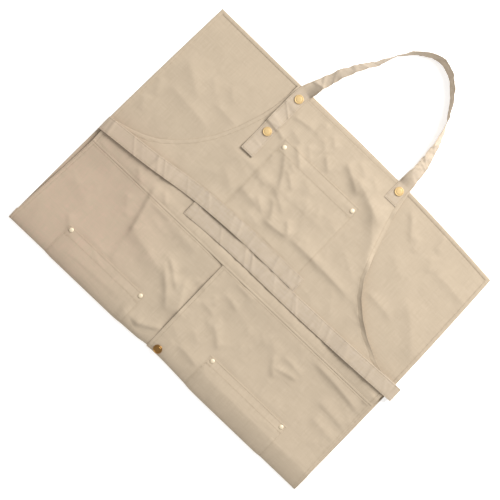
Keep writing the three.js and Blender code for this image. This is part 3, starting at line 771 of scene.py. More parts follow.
def canvas_material(name, colour, shade, thigh_painted_shade, pitch):
    """Plain-woven cotton canvas, piece dyed and pressed: matte, with uneven threads, a faint fuzz and a
    rosier painted shade over the left thigh where the light falls off.
    """
    material, tree, shader = new_material(name)
    cloth = add_node(tree, "ShaderNodeUVMap", {}, uv_map=UV_NAME).outputs["UV"]
    # Real threads lie about 0.5 mm apart, too fine to show, so they are drawn about three times as coarse.
    bands = {"Vector": cloth, "Scale": bands_for(pitch), "Distortion": 1.2, "Detail Scale": 1.5}
    warp, weft = (add_node(tree, "ShaderNodeTexWave", bands, bands_direction=way) for way in "XY")
    weave = add_node(tree, "ShaderNodeMath",
                     {0: warp.outputs["Fac"], 1: weft.outputs["Fac"]}, operation="ADD")
    thin, long = cells_for(SLUB_WIDTH), cells_for(SLUB_LENGTH)
    uneven = []
    for scale in ((thin, long, 1.0), (long, thin, 1.0)):
        drawn = add_node(tree, "ShaderNodeMapping", {"Vector": cloth, "Scale": scale})
        uneven.append(add_node(tree, "ShaderNodeTexNoise",
                               {"Vector": drawn.outputs["Vector"], "Scale": 1.0, "Detail": 2.0}))
    slubs = add_node(tree, "ShaderNodeMath",
                     {0: uneven[0].outputs["Fac"], 1: uneven[1].outputs["Fac"]}, operation="MULTIPLY")
    blotch = add_node(tree, "ShaderNodeTexNoise",
                      {"Vector": cloth, "Scale": cells_for(DYE_CLOUD), "Detail": 3.0})
    spread = add_node(tree, "ShaderNodeMapRange",
                      {"Value": slubs.outputs["Value"], "From Min": 0.14, "From Max": 0.38})
    # Painted shade: the colour turns rosier and slightly darker over the left thigh, where the light falls
    # off.
    place = add_node(tree, "ShaderNodeTexCoord", {}).outputs["Object"]
    away = add_node(tree, "ShaderNodeVectorMath", {0: place, 1: THIGH_SHADE_PLACE}, operation="DISTANCE")
    thigh_shade_share = add_node(tree, "ShaderNodeMapRange",
                     {"Value": away.outputs["Value"], "From Min": THIGH_SHADE_REACH[0], "From Max": THIGH_SHADE_REACH[1],
                      "To Min": 1.0, "To Max": 0.0}, interpolation_type="SMOOTHSTEP")
    tone_with_thigh_shade = add_node(tree, "ShaderNodeMixRGB",
                   {"Fac": thigh_shade_share.outputs["Result"], "Color1": linear(colour), "Color2": linear(thigh_painted_shade)})
    threads = add_node(tree, "ShaderNodeMixRGB",
                       {"Fac": spread.outputs["Result"], "Color1": linear(shade),
                        "Color2": tone_with_thigh_shade.outputs["Color"]})
    clouds = add_node(tree, "ShaderNodeMapRange",
                      {"Value": blotch.outputs["Fac"], "From Min": 0.3, "From Max": 0.7,
                       "To Min": 0.965, "To Max": 1.02})
    tint = add_node(tree, "ShaderNodeVectorMath",
                    {0: threads.outputs["Color"], 1: clouds.outputs["Result"]}, operation="MULTIPLY")
    tree.links.new(tint.outputs["Vector"], shader.inputs["Base Color"])
    raised = add_node(tree, "ShaderNodeMath",
                      {0: weave.outputs["Value"], 1: slubs.outputs["Value"]}, operation="ADD")
    bump = add_node(tree, "ShaderNodeBump",
                    {"Height": raised.outputs["Value"], "Strength": 0.35, "Distance": 0.00022})
    tree.links.new(bump.outputs["Normal"], shader.inputs["Normal"])
    shader.inputs["Roughness"].default_value = 0.92
    shader.inputs["Specular IOR Level"].default_value = 0.2
    shader.inputs["Sheen Weight"].default_value = 0.12
    shader.inputs["Sheen Roughness"].default_value = 0.5
    return material


def thread_material(colour):
    """Spun polyester sewing thread, two plies twisted: a soft lustre with fine uneven tones."""
    material, tree, shader = new_material("spun_sewing_thread")
    place = add_node(tree, "ShaderNodeTexCoord", {}).outputs["Object"]
    plies = add_node(tree, "ShaderNodeTexNoise",
                     {"Vector": place, "Scale": cells_for(THREAD_PLY), "Detail": 2.0})
    shades = add_node(tree, "ShaderNodeMapRange",
                      {"Value": plies.outputs["Fac"], "To Min": 0.86, "To Max": 1.1})
    tint = add_node(tree, "ShaderNodeVectorMath",
                    {0: linear(colour)[:3], 1: shades.outputs["Result"]}, operation="MULTIPLY")
    tree.links.new(tint.outputs["Vector"], shader.inputs["Base Color"])
    shader.inputs["Roughness"].default_value = 0.7
    return material


def cap_material(name, colour, rough, spread, metallic):
    """Stamped and tumbled metal cap: bright, with fine tumbling marks that blur its reflections unevenly."""
    material, tree, shader = new_material(name)
    place = add_node(tree, "ShaderNodeTexCoord", {}).outputs["Object"]
    marks = add_node(tree, "ShaderNodeTexNoise",
                     {"Vector": place, "Scale": cells_for(TUMBLE_MARK), "Detail": 4.0})
    blur = add_node(tree, "ShaderNodeMapRange",
                    {"Value": marks.outputs["Fac"], "From Min": 0.3, "From Max": 0.7,
                     "To Min": rough - spread, "To Max": rough + spread})
    tree.links.new(blur.outputs["Result"], shader.inputs["Roughness"])
    dents = add_node(tree, "ShaderNodeBump",
                     {"Height": marks.outputs["Fac"], "Strength": 0.12, "Distance": 0.0001})
    tree.links.new(dents.outputs["Normal"], shader.inputs["Normal"])
    shader.inputs["Base Color"].default_value = linear(colour)
    shader.inputs["Metallic"].default_value = metallic
    return material


def new_object(name, data):
    """A new object in the scene."""
    made = bpy.data.objects.new(name, data)
    bpy.context.scene.collection.objects.link(made)
    return made


def smooth_mesh(name, points, faces, material):
    """A smoothly shaded mesh from points in the tables' frame."""
    mesh = bpy.data.meshes.new(name)
    mesh.from_pydata(((points + SHIFT) * MM).tolist(), [], faces)
    mesh.polygons.foreach_set("use_smooth", np.ones(len(faces), bool))
    mesh.materials.append(material)
    return mesh


def sheet_faces(rows, columns):
    """Faces of a closed sheet: its top, its underside and its four edges."""
    index = np.arange(2 * rows * columns).reshape(2, rows, columns)
    top, under = index

    def strip(a, b):
        return np.stack((a[:-1], a[1:], b[1:], b[:-1]), axis=-1).reshape(-1, 4)

    def field(grid):
        quads = (grid[:-1, :-1], grid[:-1, 1:], grid[1:, 1:], grid[1:, :-1])
        return np.stack(quads, axis=-1).reshape(-1, 4)

    return np.concatenate((
        field(top), field(under)[:, ::-1], strip(under[0], top[0]), strip(top[-1], under[-1]),
        strip(top[:, 0], under[:, 0]), strip(under[:, -1], top[:, -1]),
    ))


def solid_volume(points, faces):
    """Six times the volume within a closed mesh of quads, below zero if they face inwards."""
    a, b, c, d = (points[faces[:, i]] for i in range(4))
    return np.einsum("ij,ij->", a, np.cross(b, c)) + np.einsum("ij,ij->", a, np.cross(c, d))


def sheet_object(name, top, under, flat, material):
    """A piece of cloth between two grids of points, with the cloth's own flat lie as its UV map."""
    rows, columns = top.shape[:2]
    points = np.concatenate((top.reshape(-1, 3), under.reshape(-1, 3)))
    faces = sheet_faces(rows, columns)
    if solid_volume(points, faces) < 0:
        faces = faces[:, ::-1]
    mesh = smooth_mesh(name, points, faces.tolist(), material)
    lie = np.concatenate((flat.reshape(-1, 2), flat.reshape(-1, 2)))[faces.reshape(-1)] * MM
    mesh.uv_layers.new(name=UV_NAME).data.foreach_set("uv", lie.reshape(-1).astype(np.float32))
    return new_object(name, mesh)


def seat_piece(piece, node):
    """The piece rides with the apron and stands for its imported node."""
    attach(piece, BODY)
    if node:
        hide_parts(node)
    return piece


def normals_of(grid):
    """Directions out of a grid of points."""
    return unit(np.cross(np.gradient(grid, axis=1), np.gradient(grid, axis=0)))


# One stitch lies along X: rings of a low grain of thread, each a share of its half length and of its radius,
# and how far its middle stands over the cloth as a share of its radius
STITCH_RINGS = ((-1.0, 0.45), (0.0, 1.0), (1.0, 0.45))
STITCH_SIDES = 5
STITCH_RISE = 0.35


def stitch_template():
    """Points and faces of one stitch."""
    angles = np.arange(STITCH_SIDES) * 2.0 * math.pi / STITCH_SIDES
    rings = [stacked(place, size * np.cos(angles), size * np.sin(angles)) for place, size in STITCH_RINGS]
    faces = []
    for ring in range(len(STITCH_RINGS) - 1):
        for side in range(STITCH_SIDES):
            a, b = ring * STITCH_SIDES + side, ring * STITCH_SIDES + (side + 1) % STITCH_SIDES
            faces.append((a, b, b + STITCH_SIDES, a + STITCH_SIDES))
    last = (len(STITCH_RINGS) - 1) * STITCH_SIDES
    ends = [tuple(range(STITCH_SIDES))[::-1], tuple(range(last, last + STITCH_SIDES))]
    return np.concatenate(rings), faces + ends


def stitch_places(run, out, sizes):
    """Middles, directions and facings of the stitches along a line of points."""
    length = way_along(run)
    count = max(1, int(length[-1] / mm(sizes.stitch_pitch)))
    at = (np.arange(count) + 0.5) * length[-1] / count
    half = mm(sizes.stitch) / 2.0
    middle, before, after, face = (
        np.stack([np.interp(where, length, values[:, i]) for i in range(3)], axis=-1)
        for where, values in ((at, run), (at - half, run), (at + half, run), (at, out)))
    along = unit(after - before)
    side = unit(np.cross(face, along))
    return middle, along, side, np.cross(along, side)


def stitch_object(name, runs, sizes, material):
    """All the stitches of one piece, joined into one mesh."""
    template, faces = stitch_template()
    half, radius = mm(sizes.stitch) / 2.0, mm(sizes.thread) / 2.0
    points, polygons = [], []
    for run, out in runs:
        for middle, along, side, up in zip(*stitch_places(run, out, sizes)):
            first = len(points) * len(template)
            grain = (template[:, :1] * half * along + template[:, 1:2] * radius * side
                     + template[:, 2:] * radius * up)
            points.append(middle + up * radius * STITCH_RISE + grain)
            polygons.extend([tuple(first + i for i in face) for face in faces])
    mesh = smooth_mesh(name, np.concatenate(points), polygons, material)
    return seat_piece(new_object(name, mesh), None)


def nearest(values, wanted):
    """Index of the value nearest to the wanted one."""
    return int(np.argmin(np.abs(np.asarray(values) - wanted)))


def row_run(grid, out, row, first, last):
    """Line of points along a row of a grid, with their facings."""
    return grid[row, first:last], out[row, first:last]


def column_run(grid, out, column, first, last):
    """The same along a column."""
    return grid[first:last, column], out[first:last, column]


class ApronOperator(bpy.types.Operator):
    """Shared by the operators that make pieces."""

    bl_options = {"REGISTER", "UNDO"}

    def looks(self, context):
        """Sizes, and the materials that the pieces share, made once."""
        scene = context.scene
        colours = scene.apron_colours
        # The thread tone, the painted shade over the left thigh and the weave's pitch
        weave_tones_and_thigh_shade = (colours.canvas_shade, colours.thigh_painted_shade, scene.apron_sizes.thread_pitch)
        kinds = {
            "cotton_canvas": lambda n: canvas_material(n, colours.canvas, *weave_tones_and_thigh_shade),
            "doubled_canvas_tape": lambda n: canvas_material(n, colours.tape, *weave_tones_and_thigh_shade),
            "spun_sewing_thread": lambda n: thread_material(colours.thread),
        }
        found = {n: bpy.data.materials.get(n) or make(n) for n, make in kinds.items()}
        return scene.apron_sizes, found


class APRON_OT_bib_panel(ApronOperator):
    """Make the bib, with its curved armholes and hemmed edges"""

    bl_idname = "apron.bib_panel"
    bl_label = "Bib panel"

    def execute(self, context):
        sizes, looks = self.looks(context)
        stitch, groove = mm(sizes.hem_stitch), mm(sizes.groove)
        low = ladder(SEAM_EDGE, FLARE_Y[0], SEAM_LADDER, PLAIN_END, cells(SEAM_EDGE, FLARE_Y[0]))
        flare = np.arange(FLARE_Y[0] + FLARE_CELL, FLARE_Y[1], FLARE_CELL)
        high = ladder(FLARE_Y[1], BIB_TOP_Y, PLAIN_END, EDGE_LADDER, cells(FLARE_Y[1], BIB_TOP_Y))
        y = np.concatenate((low, flare, high))
        rungs = np.array(EDGE_LADDER)
        left, left_lean = edge_at("left", y)
        right, right_lean = edge_at("right", y)
        near = left[:, None] + rungs * left_lean[:, None]
        far = right[:, None] - rungs[::-1] * right_lean[:, None]
        inner = np.linspace(0.0, 1.0, BIB_COLUMNS)[1:-1]
        middle = near[:, -1:] + inner * (far[:, :1] - near[:, -1:])
        x = np.concatenate((near, middle, far), axis=1)
        y = np.repeat(y[:, None], x.shape[1], axis=1)
        under = bib_under(x, y)
        room_left, room_right = edge_room(x, y)
        side = np.minimum(np.minimum(room_left, room_right), BIB_TOP_Y - y)
        relief = edge_relief(side, BIB_HEM, stitch, groove)
        relief += edge_relief(y - SEAM_EDGE, WAIST_LAP, WAIST_STITCH, groove)
        relief += pucker(y, side, stitch) + pucker(x, y - SEAM_EDGE, stitch)
        relief -= patch_bed(np.minimum(chest_room(x, y), CHEST_HIGH[1] - y))
        top = stacked(x, y, under + mm(sizes.cloth) + relief)
        flat = stacked(x, y)
        piece = sheet_object("bib_panel_canvas", top, stacked(x, y, under), flat, looks["cotton_canvas"])
        seat_piece(piece, "bib_panel")
        out = normals_of(top)
        out = np.where(out[..., 2:] < 0, -out, out)
        at = nearest(EDGE_LADDER, stitch)
        waist = nearest(SEAM_LADDER, WAIST_STITCH)
        crown = len(y) - 1 - at
        runs = [
            column_run(top, out, at, waist, crown),
            column_run(top, out, x.shape[1] - 1 - at, waist, crown),
            row_run(top, out, crown, at, x.shape[1] - at),
            row_run(top, out, waist, at, x.shape[1] - at),
        ]
        threads = stitch_object("bib_panel_stitches", runs, sizes, looks["spun_sewing_thread"])
        return {"FINISHED"}


def leg_fold(leg, x):
    """Outermost line of a leg's fold, the reach of its shoulder and the two powers of its curve."""
    dip = FOLD_DIP * hump(x - FOLD_DIP_X, FOLD_DIP_WIDTH)
    nest = NEST * over_lap(x, LAP_EASE, 0) if leg.inner == LAP_X else 0.0
    wide = wide_fold(x)
    run = FOLD_TOP_RUN + FOLD_WIDE_RUN * wide - FOLD_TUCK * hump(x - FOLD_TUCK_X, FOLD_TUCK_WIDTH)
    powers = DROP_POWER - DROP_POWER_LOSS * wide, NOSE_POWER - NOSE_POWER_LOSS * wide
    return FOLD_Y + dip + nest, run, *powers


def leg_top(leg, x, y):
    """Top of a leg's front."""
    lift = 0.0
    if leg.inner == SPLIT_X:
        ends = smooth(*SPLIT_LIFT_TOP, y) * smooth(*SPLIT_LIFT_FOOT, y)
        lift = LIFTED_LAYER * over_lap(x, 0, LAP_EASE)
        lift = lift + SPLIT_LIFT * hump(x - SPLIT_X, SPLIT_LIFT_WIDTH) * ends
    return front_under(x, y) + CLOTH + lift


# Parts of a leg, in their order along the cloth
FRONT, SHOULDER, UNDER, BACK = range(4)


def leg_surface(leg, part, place, x):
    """Outer face of a leg and the direction out of it. Place is a height, or an angle on the fold."""
    nose, run, drop_power, nose_power = leg_fold(leg, x)
    zero = np.zeros_like(x)
    if part == FRONT:
        end = FOLD_Y + FOLD_TOP_RUN
        share = np.clip((RUN_BLEND_Y - place) / (RUN_BLEND_Y - end), 0.0, 1.0)
        y = np.where(place < RUN_BLEND_Y, RUN_BLEND_Y + share * (nose + run - RUN_BLEND_Y), place)
        return stacked(x, y, leg_top(leg, x, y)), stacked(zero, zero, zero + 1.0)
    if part == BACK:
        spread = np.clip((x - leg.hem_edge) / (leg.inner - leg.hem_edge), 0.0, 1.0)
        hem = leg.hem_outer_y + (leg.hem_inner_y - leg.hem_outer_y) * (1.0 - (1.0 - spread) ** HEM_SAG)
        y = nose + (hem - nose) * (place - FOLD_Y) / (leg.hem_outer_y - FOLD_Y)
        return stacked(x, y, back_height(leg, x, y)), stacked(zero, zero, zero - 1.0)
    sin, cos = np.sin(place), np.cos(place)
    if part == SHOULDER:
        rise = leg_top(leg, x, nose + run) - FOLD_NOSE
        left = np.maximum(1.0 - sin ** drop_power, 0.0)
        point = stacked(x, nose + run * (1.0 - sin), FOLD_NOSE + rise * left ** (1 / nose_power))
        fall = rise * drop_power / nose_power * sin ** (drop_power - 1.0)
        out = stacked(zero, -fall, run * left ** (1.0 - 1.0 / nose_power))
    else:
        low = back_height(leg, x, nose + FOLD_LOW_RUN)
        drop = FOLD_NOSE - low
        point = stacked(x, nose + FOLD_LOW_RUN * (1.0 - cos), low + drop * (1.0 - sin))
        out = stacked(zero, -drop * cos, zero - FOLD_LOW_RUN * sin)
    return point, unit(out)


def fold_stations():
    """Angles round the fold, over its shoulder and then under it."""
    half = math.pi / 2.0
    shoulder = [(SHOULDER, angle) for angle in np.linspace(0.0, half, SHOULDER_ROWS)[1:]]
    return shoulder + [(UNDER, angle) for angle in np.linspace(0.0, half, UNDER_ROWS)[1:]]


def leg_stations(leg):
    """Places along a leg's cloth, close together where it shows."""
    end = FOLD_Y + FOLD_TOP_RUN
    front = ladder(SEAM_EDGE, end, WAIST_LADDER, PLAIN_END, cells(SEAM_EDGE, end))
    first = [(FRONT, y) for y in np.linspace(LEG_TOP, SEAM_EDGE, LAPPED_ROWS, endpoint=False)]
    first += [(FRONT, y) for y in front]
    start = FOLD_Y + FOLD_LOW_RUN
    hidden = np.linspace(start, HIDDEN_Y, int((HIDDEN_Y - start) / BACK_CELL))[1:]
    hem = leg.hem_outer_y
    shown = ladder(HIDDEN_Y, hem, PLAIN_END, EDGE_LADDER, cells(HIDDEN_Y, hem))[1:]
    return first + fold_stations() + [(BACK, y) for y in (*hidden, *shown)]


def leg_edge(leg, part, place):
    """Side edge of a leg."""
    if part == FRONT:
        return leg.waist_edge + (leg.fold_edge - leg.waist_edge) * min(max(place / FOLD_Y, 0.0), 1.0)
    if part == BACK:
        share = (place - FOLD_Y) / (leg.hem_outer_y - FOLD_Y)
        return leg.fold_edge + (leg.hem_edge - leg.fold_edge) * share + leg.bulge * arch(share)
    return leg.fold_edge


def cloth_lie(points):
    """Flat lie of a grid of points: X across, and the way along the cloth down its middle."""
    along = way_along(points[:, points.shape[1] // 2])
    return stacked(points[..., 0], along[:, None])


class APRON_OT_legs(ApronOperator):
    """Make the two legs, folded behind at the thigh, with hemmed sides and ends"""

    bl_idname = "apron.legs"
    bl_label = "Legs"

    def execute(self, context):
        sizes, looks = self.looks(context)
        for leg in LEGS:
            self.make_leg(leg, sizes, looks)
        return {"FINISHED"}

    def make_leg(self, leg, sizes, looks):
        """Make one leg from waist to hem, in one cloth."""
        stitch, groove = mm(sizes.hem_stitch), mm(sizes.groove)
        stations = leg_stations(leg)
        points, outs, rooms = [], [], []
        for part, place in stations:
            edge = leg_edge(leg, part, place)
            x = ladder(edge, leg.inner, EDGE_LADDER, EDGE_LADDER, LEG_COLUMNS)
            point, out = leg_surface(leg, part, place, x)
            points.append(point)
            outs.append(out)
            rooms.append(np.minimum(np.abs(x - edge), np.abs(leg.inner - x)))
        points, outs, rooms = (np.array(values) for values in (points, outs, rooms))
        flat = cloth_lie(points)
        ends = flat[-1, 0, 1] - flat[..., 1]
        beside_seam = smooth(*RIDGE_RISE, points[..., 1]) * (1.0 - smooth(*RIDGE_FALL, points[..., 1]))
        waist_ridge = SEAM_RIDGE * beside_seam * (outs[..., 2] > 0)
        room = np.minimum(rooms, ends)
        ripple = pucker(flat[..., 1], rooms, stitch) + pucker(flat[..., 0], ends, stitch)
        shown = edge_relief(room, LEG_HEM, stitch, groove) + ripple + waist_ridge
        inside = edge_relief(room, LEG_HEM_INSIDE, stitch, groove) - ripple
        kinds = np.array([part for part, _ in stations])
        inside[kinds != BACK] = 0.0
        shown[:LAPPED_ROWS] = 0.0
        if leg.inner == LAP_X:
            shown *= 1.0 - smooth(SPLIT_X - LAP_CLEAR, SPLIT_X, points[..., 0])
        else:
            inside *= smooth(LAP_X, LAP_X + LAP_CLEAR, points[..., 0])
        shown -= self.pocket_bed(leg, kinds, points)
        top = points + outs * shown[..., None]
        top[..., 2] = np.maximum(top[..., 2], 0.0)
        under = points - outs * (mm(sizes.cloth) + inside)[..., None]
        piece = sheet_object(leg.name + "_canvas", top, under, flat, looks["cotton_canvas"])
        seat_piece(piece, leg.name)
        at, beside = nearest(EDGE_LADDER, stitch), nearest(EDGE_LADDER, mm(sizes.edge_stitch))
        last = points.shape[1] - 1 - at
        turned = int(np.argmax(kinds == UNDER))
        hidden = nearest([place for _, place in stations], HIDDEN_Y)
        waist = nearest([place for part, place in stations if part == FRONT], LEG_WAIST_Y)
        end = len(stations) - 1 - at
        runs = [
            column_run(top, outs, at, waist, turned),
            column_run(top, outs, beside, waist, turned),
            column_run(top, outs, last, waist, turned),
            row_run(top, outs, waist, at, last),
            column_run(under, -outs, at, hidden, end),
            row_run(under, -outs, end, at, last),
        ]
        threads = stitch_object(leg.name + "_stitches", runs, sizes, looks["spun_sewing_thread"])

    def pocket_bed(self, leg, kinds, points):
        """How far a leg is pressed in under its pocket."""
        low, high = sorted((leg.outer, leg.near))
        x, y = points[..., 0], points[..., 1]
        room = np.minimum(x - low, high - x)
        past = np.select([kinds[:, None] == FRONT, kinds[:, None] == BACK],
                         [leg.top - y, pocket_end(leg) - y], PATCH_SNUG)
        return patch_bed(np.minimum(room, past))


class APRON_OT_pockets(ApronOperator):
    """Make the chest pocket and the two thigh pockets"""

    bl_idname = "apron.pockets"
    bl_label = "Pockets"

    def execute(self, context):
        sizes, looks = self.looks(context)
        self.make_chest(sizes, looks)
        for leg in LEGS:
            self.make_thigh(leg, sizes, looks)
        return {"FINISHED"}

    def finish(self, node, top, under, outs, flat, held, under_node, rows, sizes, looks):
        """Make the mesh and its stitches. Rows are the mouth's hem row and the last row that shows."""
        hem_row, last = rows
        piece = sheet_object(node + "_canvas", top, under, flat, looks["cotton_canvas"])
        seat_piece(piece, node)
        at = nearest(SEAM_LADDER, mm(sizes.edge_stitch))
        far = top.shape[1] - 1 - at
        runs = [
            column_run(top, outs, at, 1, last), column_run(top, outs, far, 1, last),
            row_run(top, outs, hem_row, at, far), row_run(top, outs, at, at, far),
            row_run(top, outs, hem_row + 1, at, at + TACK_COLUMNS),
            row_run(top, outs, hem_row + 1, far - TACK_COLUMNS, far),
        ]
        threads = stitch_object(node + "_stitches", runs, sizes, looks["spun_sewing_thread"])

    def patch_relief(self, room, mouth, along, across, edge, sizes):
        """Height of a patch pocket's face: stitched edges, and a hemmed mouth."""
        stitch, groove = mm(sizes.edge_stitch), mm(sizes.groove)
        hem_stitch = edge.hem - MOUTH_STITCH
        relief = edge_relief(room, PATCH_EDGE, stitch, groove)
        relief += edge_relief(mouth, edge, hem_stitch, MOUTH_GROOVE * groove)
        return relief + pucker(along, room, stitch) + pucker(across, mouth, hem_stitch)

    def make_chest(self, sizes, looks):
        """Make the pocket on the bib."""
        (left, bottom, _), (right, crown, _) = CHEST_LOW, CHEST_HIGH
        x = ladder(left, right, SEAM_LADDER, SEAM_LADDER, cells(left, right))
        y = ladder(crown, bottom, SEAM_LADDER, SEAM_LADDER, cells(crown, bottom))
        hem_row = nearest(y, crown - CHEST_MOUTH.hem + MOUTH_STITCH)
        x, y = np.meshgrid(x, y)
        room = chest_room(x, y)
        under = front_under(x, y) + chest_lift(x, y)
        relief = self.patch_relief(room, crown - y, y, x, CHEST_MOUTH, sizes)
        top = stacked(x, y, under + np.maximum(mm(sizes.cloth) + relief, THIN_EDGE))
        outs = np.zeros_like(top) + (0.0, 0.0, 1.0)
        self.finish("chest_pocket", top, stacked(x, y, under), outs, stacked(x, y), "laid", "bib_panel",
                    (hem_row, len(x) - 1), sizes, looks)

    def make_thigh(self, leg, sizes, looks):
        """Make the pocket that wraps round the fold of a leg."""
        shoulder = FOLD_Y + FOLD_TOP_RUN
        x = ladder(leg.outer, leg.near, SEAM_LADDER, SEAM_LADDER, cells(leg.outer, leg.near))
        front = ladder(leg.top, shoulder, SEAM_LADDER, PLAIN_END, cells(leg.top, shoulder))
        hem_row = nearest(front, leg.top - THIGH_MOUTH.hem + MOUTH_STITCH)
        back = np.linspace(FOLD_Y + FOLD_LOW_RUN, pocket_end(leg), POCKET_BACK_ROWS)[1:]
        stations = [(FRONT, y) for y in front] + fold_stations() + [(BACK, y) for y in back]
        grids = [leg_surface(leg, part, place, x) for part, place in stations]
        points = np.array([point for point, _ in grids])
        outs = np.array([out for _, out in grids])
        flat = cloth_lie(points)
        room = np.minimum(np.abs(points[..., 0] - leg.outer), np.abs(leg.near - points[..., 0]))
        relief = self.patch_relief(room, flat[..., 1], flat[..., 1], points[..., 0], THIGH_MOUTH, sizes)
        relief = np.where(outs[..., 2] > FACES_DOWN, relief, 0.0)
        apart = SEWN_GAP + GAP * snug(room)
        top = points + outs * (apart + np.maximum(mm(sizes.cloth) + relief, THIN_EDGE))[..., None]
        top[..., 2] = np.maximum(top[..., 2], 0.0)
        under = points + outs * apart[..., None]
        self.finish(leg.pocket, top, under, outs, flat, "folded", leg.name,
                    (hem_row, [part for part, _ in stations].index(UNDER)), sizes, looks)


def rounded_curve(rows, pitch):
    """Points along a smooth curve through the rows of a table, a pitch apart."""
    rows = np.array(rows, float)
    places = way_along(rows[:, :2])
    slopes = np.gradient(rows, places, axis=0)
    t = np.linspace(0.0, 1.0, CURVE_STEPS, endpoint=False)[:, None]
    parts = []
    for i, span in enumerate(np.diff(places)):
        rise, leave, arrive = rows[i + 1] - rows[i], span * slopes[i], span * slopes[i + 1]
        bend = (3.0 * rise - 2.0 * leave - arrive) * t ** 2 + (leave + arrive - 2.0 * rise) * t ** 3
        parts.append(rows[i] + leave * t + bend)
    fine = np.concatenate((*parts, rows[-1:]))
    length = way_along(fine[:, :2])
    at = np.linspace(0.0, length[-1], int(length[-1] / pitch) + 1)
    return np.stack([np.interp(at, length, fine[:, i]) for i in range(fine.shape[1])], axis=-1)


def eased_over(heights, reach):
    """A line that lies over uneven heights without dropping into each dip."""
    padded = np.pad(heights, 2 * reach, mode="edge")
    size = 2 * reach + 1
    highest = np.lib.stride_tricks.sliding_window_view(padded, size).max(axis=1)
    return np.lib.stride_tricks.sliding_window_view(highest, size).mean(axis=1)


def tape_crumple(start, stop):
    """Small cross creases between two places along a tape, always the same ones."""
    draw = np.random.default_rng(TAPE_CRUMPLE_SEED)
    low, high = sorted((start, stop))
    return tuple(
        TapeCrease(draw.uniform(low, high), draw.uniform(*TAPE_CRUMPLE_SLANT),
                   draw.uniform(*TAPE_CRUMPLE_WIDTH), draw.uniform(*TAPE_CRUMPLE_HEIGHT))
        for _ in range(int((high - low) / TAPE_CRUMPLE_PITCH)))


def tape_creased(table, along, places):
    """Height of all cross creases of a tape."""
    return sum(row.height * hump(along[:, None] + row.slant * places - row.at, row.width) for row in table)


def ribbon(middle, across, width, thickness, lift, sizes):
    """Two faces of a doubled strip along its middle line, drawn in at the stitches beside its edges."""
    stitch = mm(sizes.edge_stitch)
    half = width / 2.0
    places = ladder(-half, half, TAPE_LADDER, TAPE_LADDER, TAPE_CELLS)
    face = unit(np.cross(across, np.gradient(middle, axis=0)))
    room = half - np.abs(places)
    rounded = TAPE_EDGE_SHARE + (1.0 - TAPE_EDGE_SHARE) * smooth(0.0, TAPE_EDGE_WIDTH, room)
    drawn = TAPE_GROOVE * hump(room - stitch, TAPE_GROOVE_WIDTH)
    body = thickness[:, None] / 2.0 * (rounded - drawn)
    line = middle[:, None] + across[:, None] * places[:, None]
    top = line + face[:, None] * (body + lift(places))[..., None]
    under = line - face[:, None] * (body - lift(places))[..., None]
    flat = stacked(places, way_along(middle)[:, None])
    return top, under, face, flat, nearest(TAPE_LADDER, stitch)


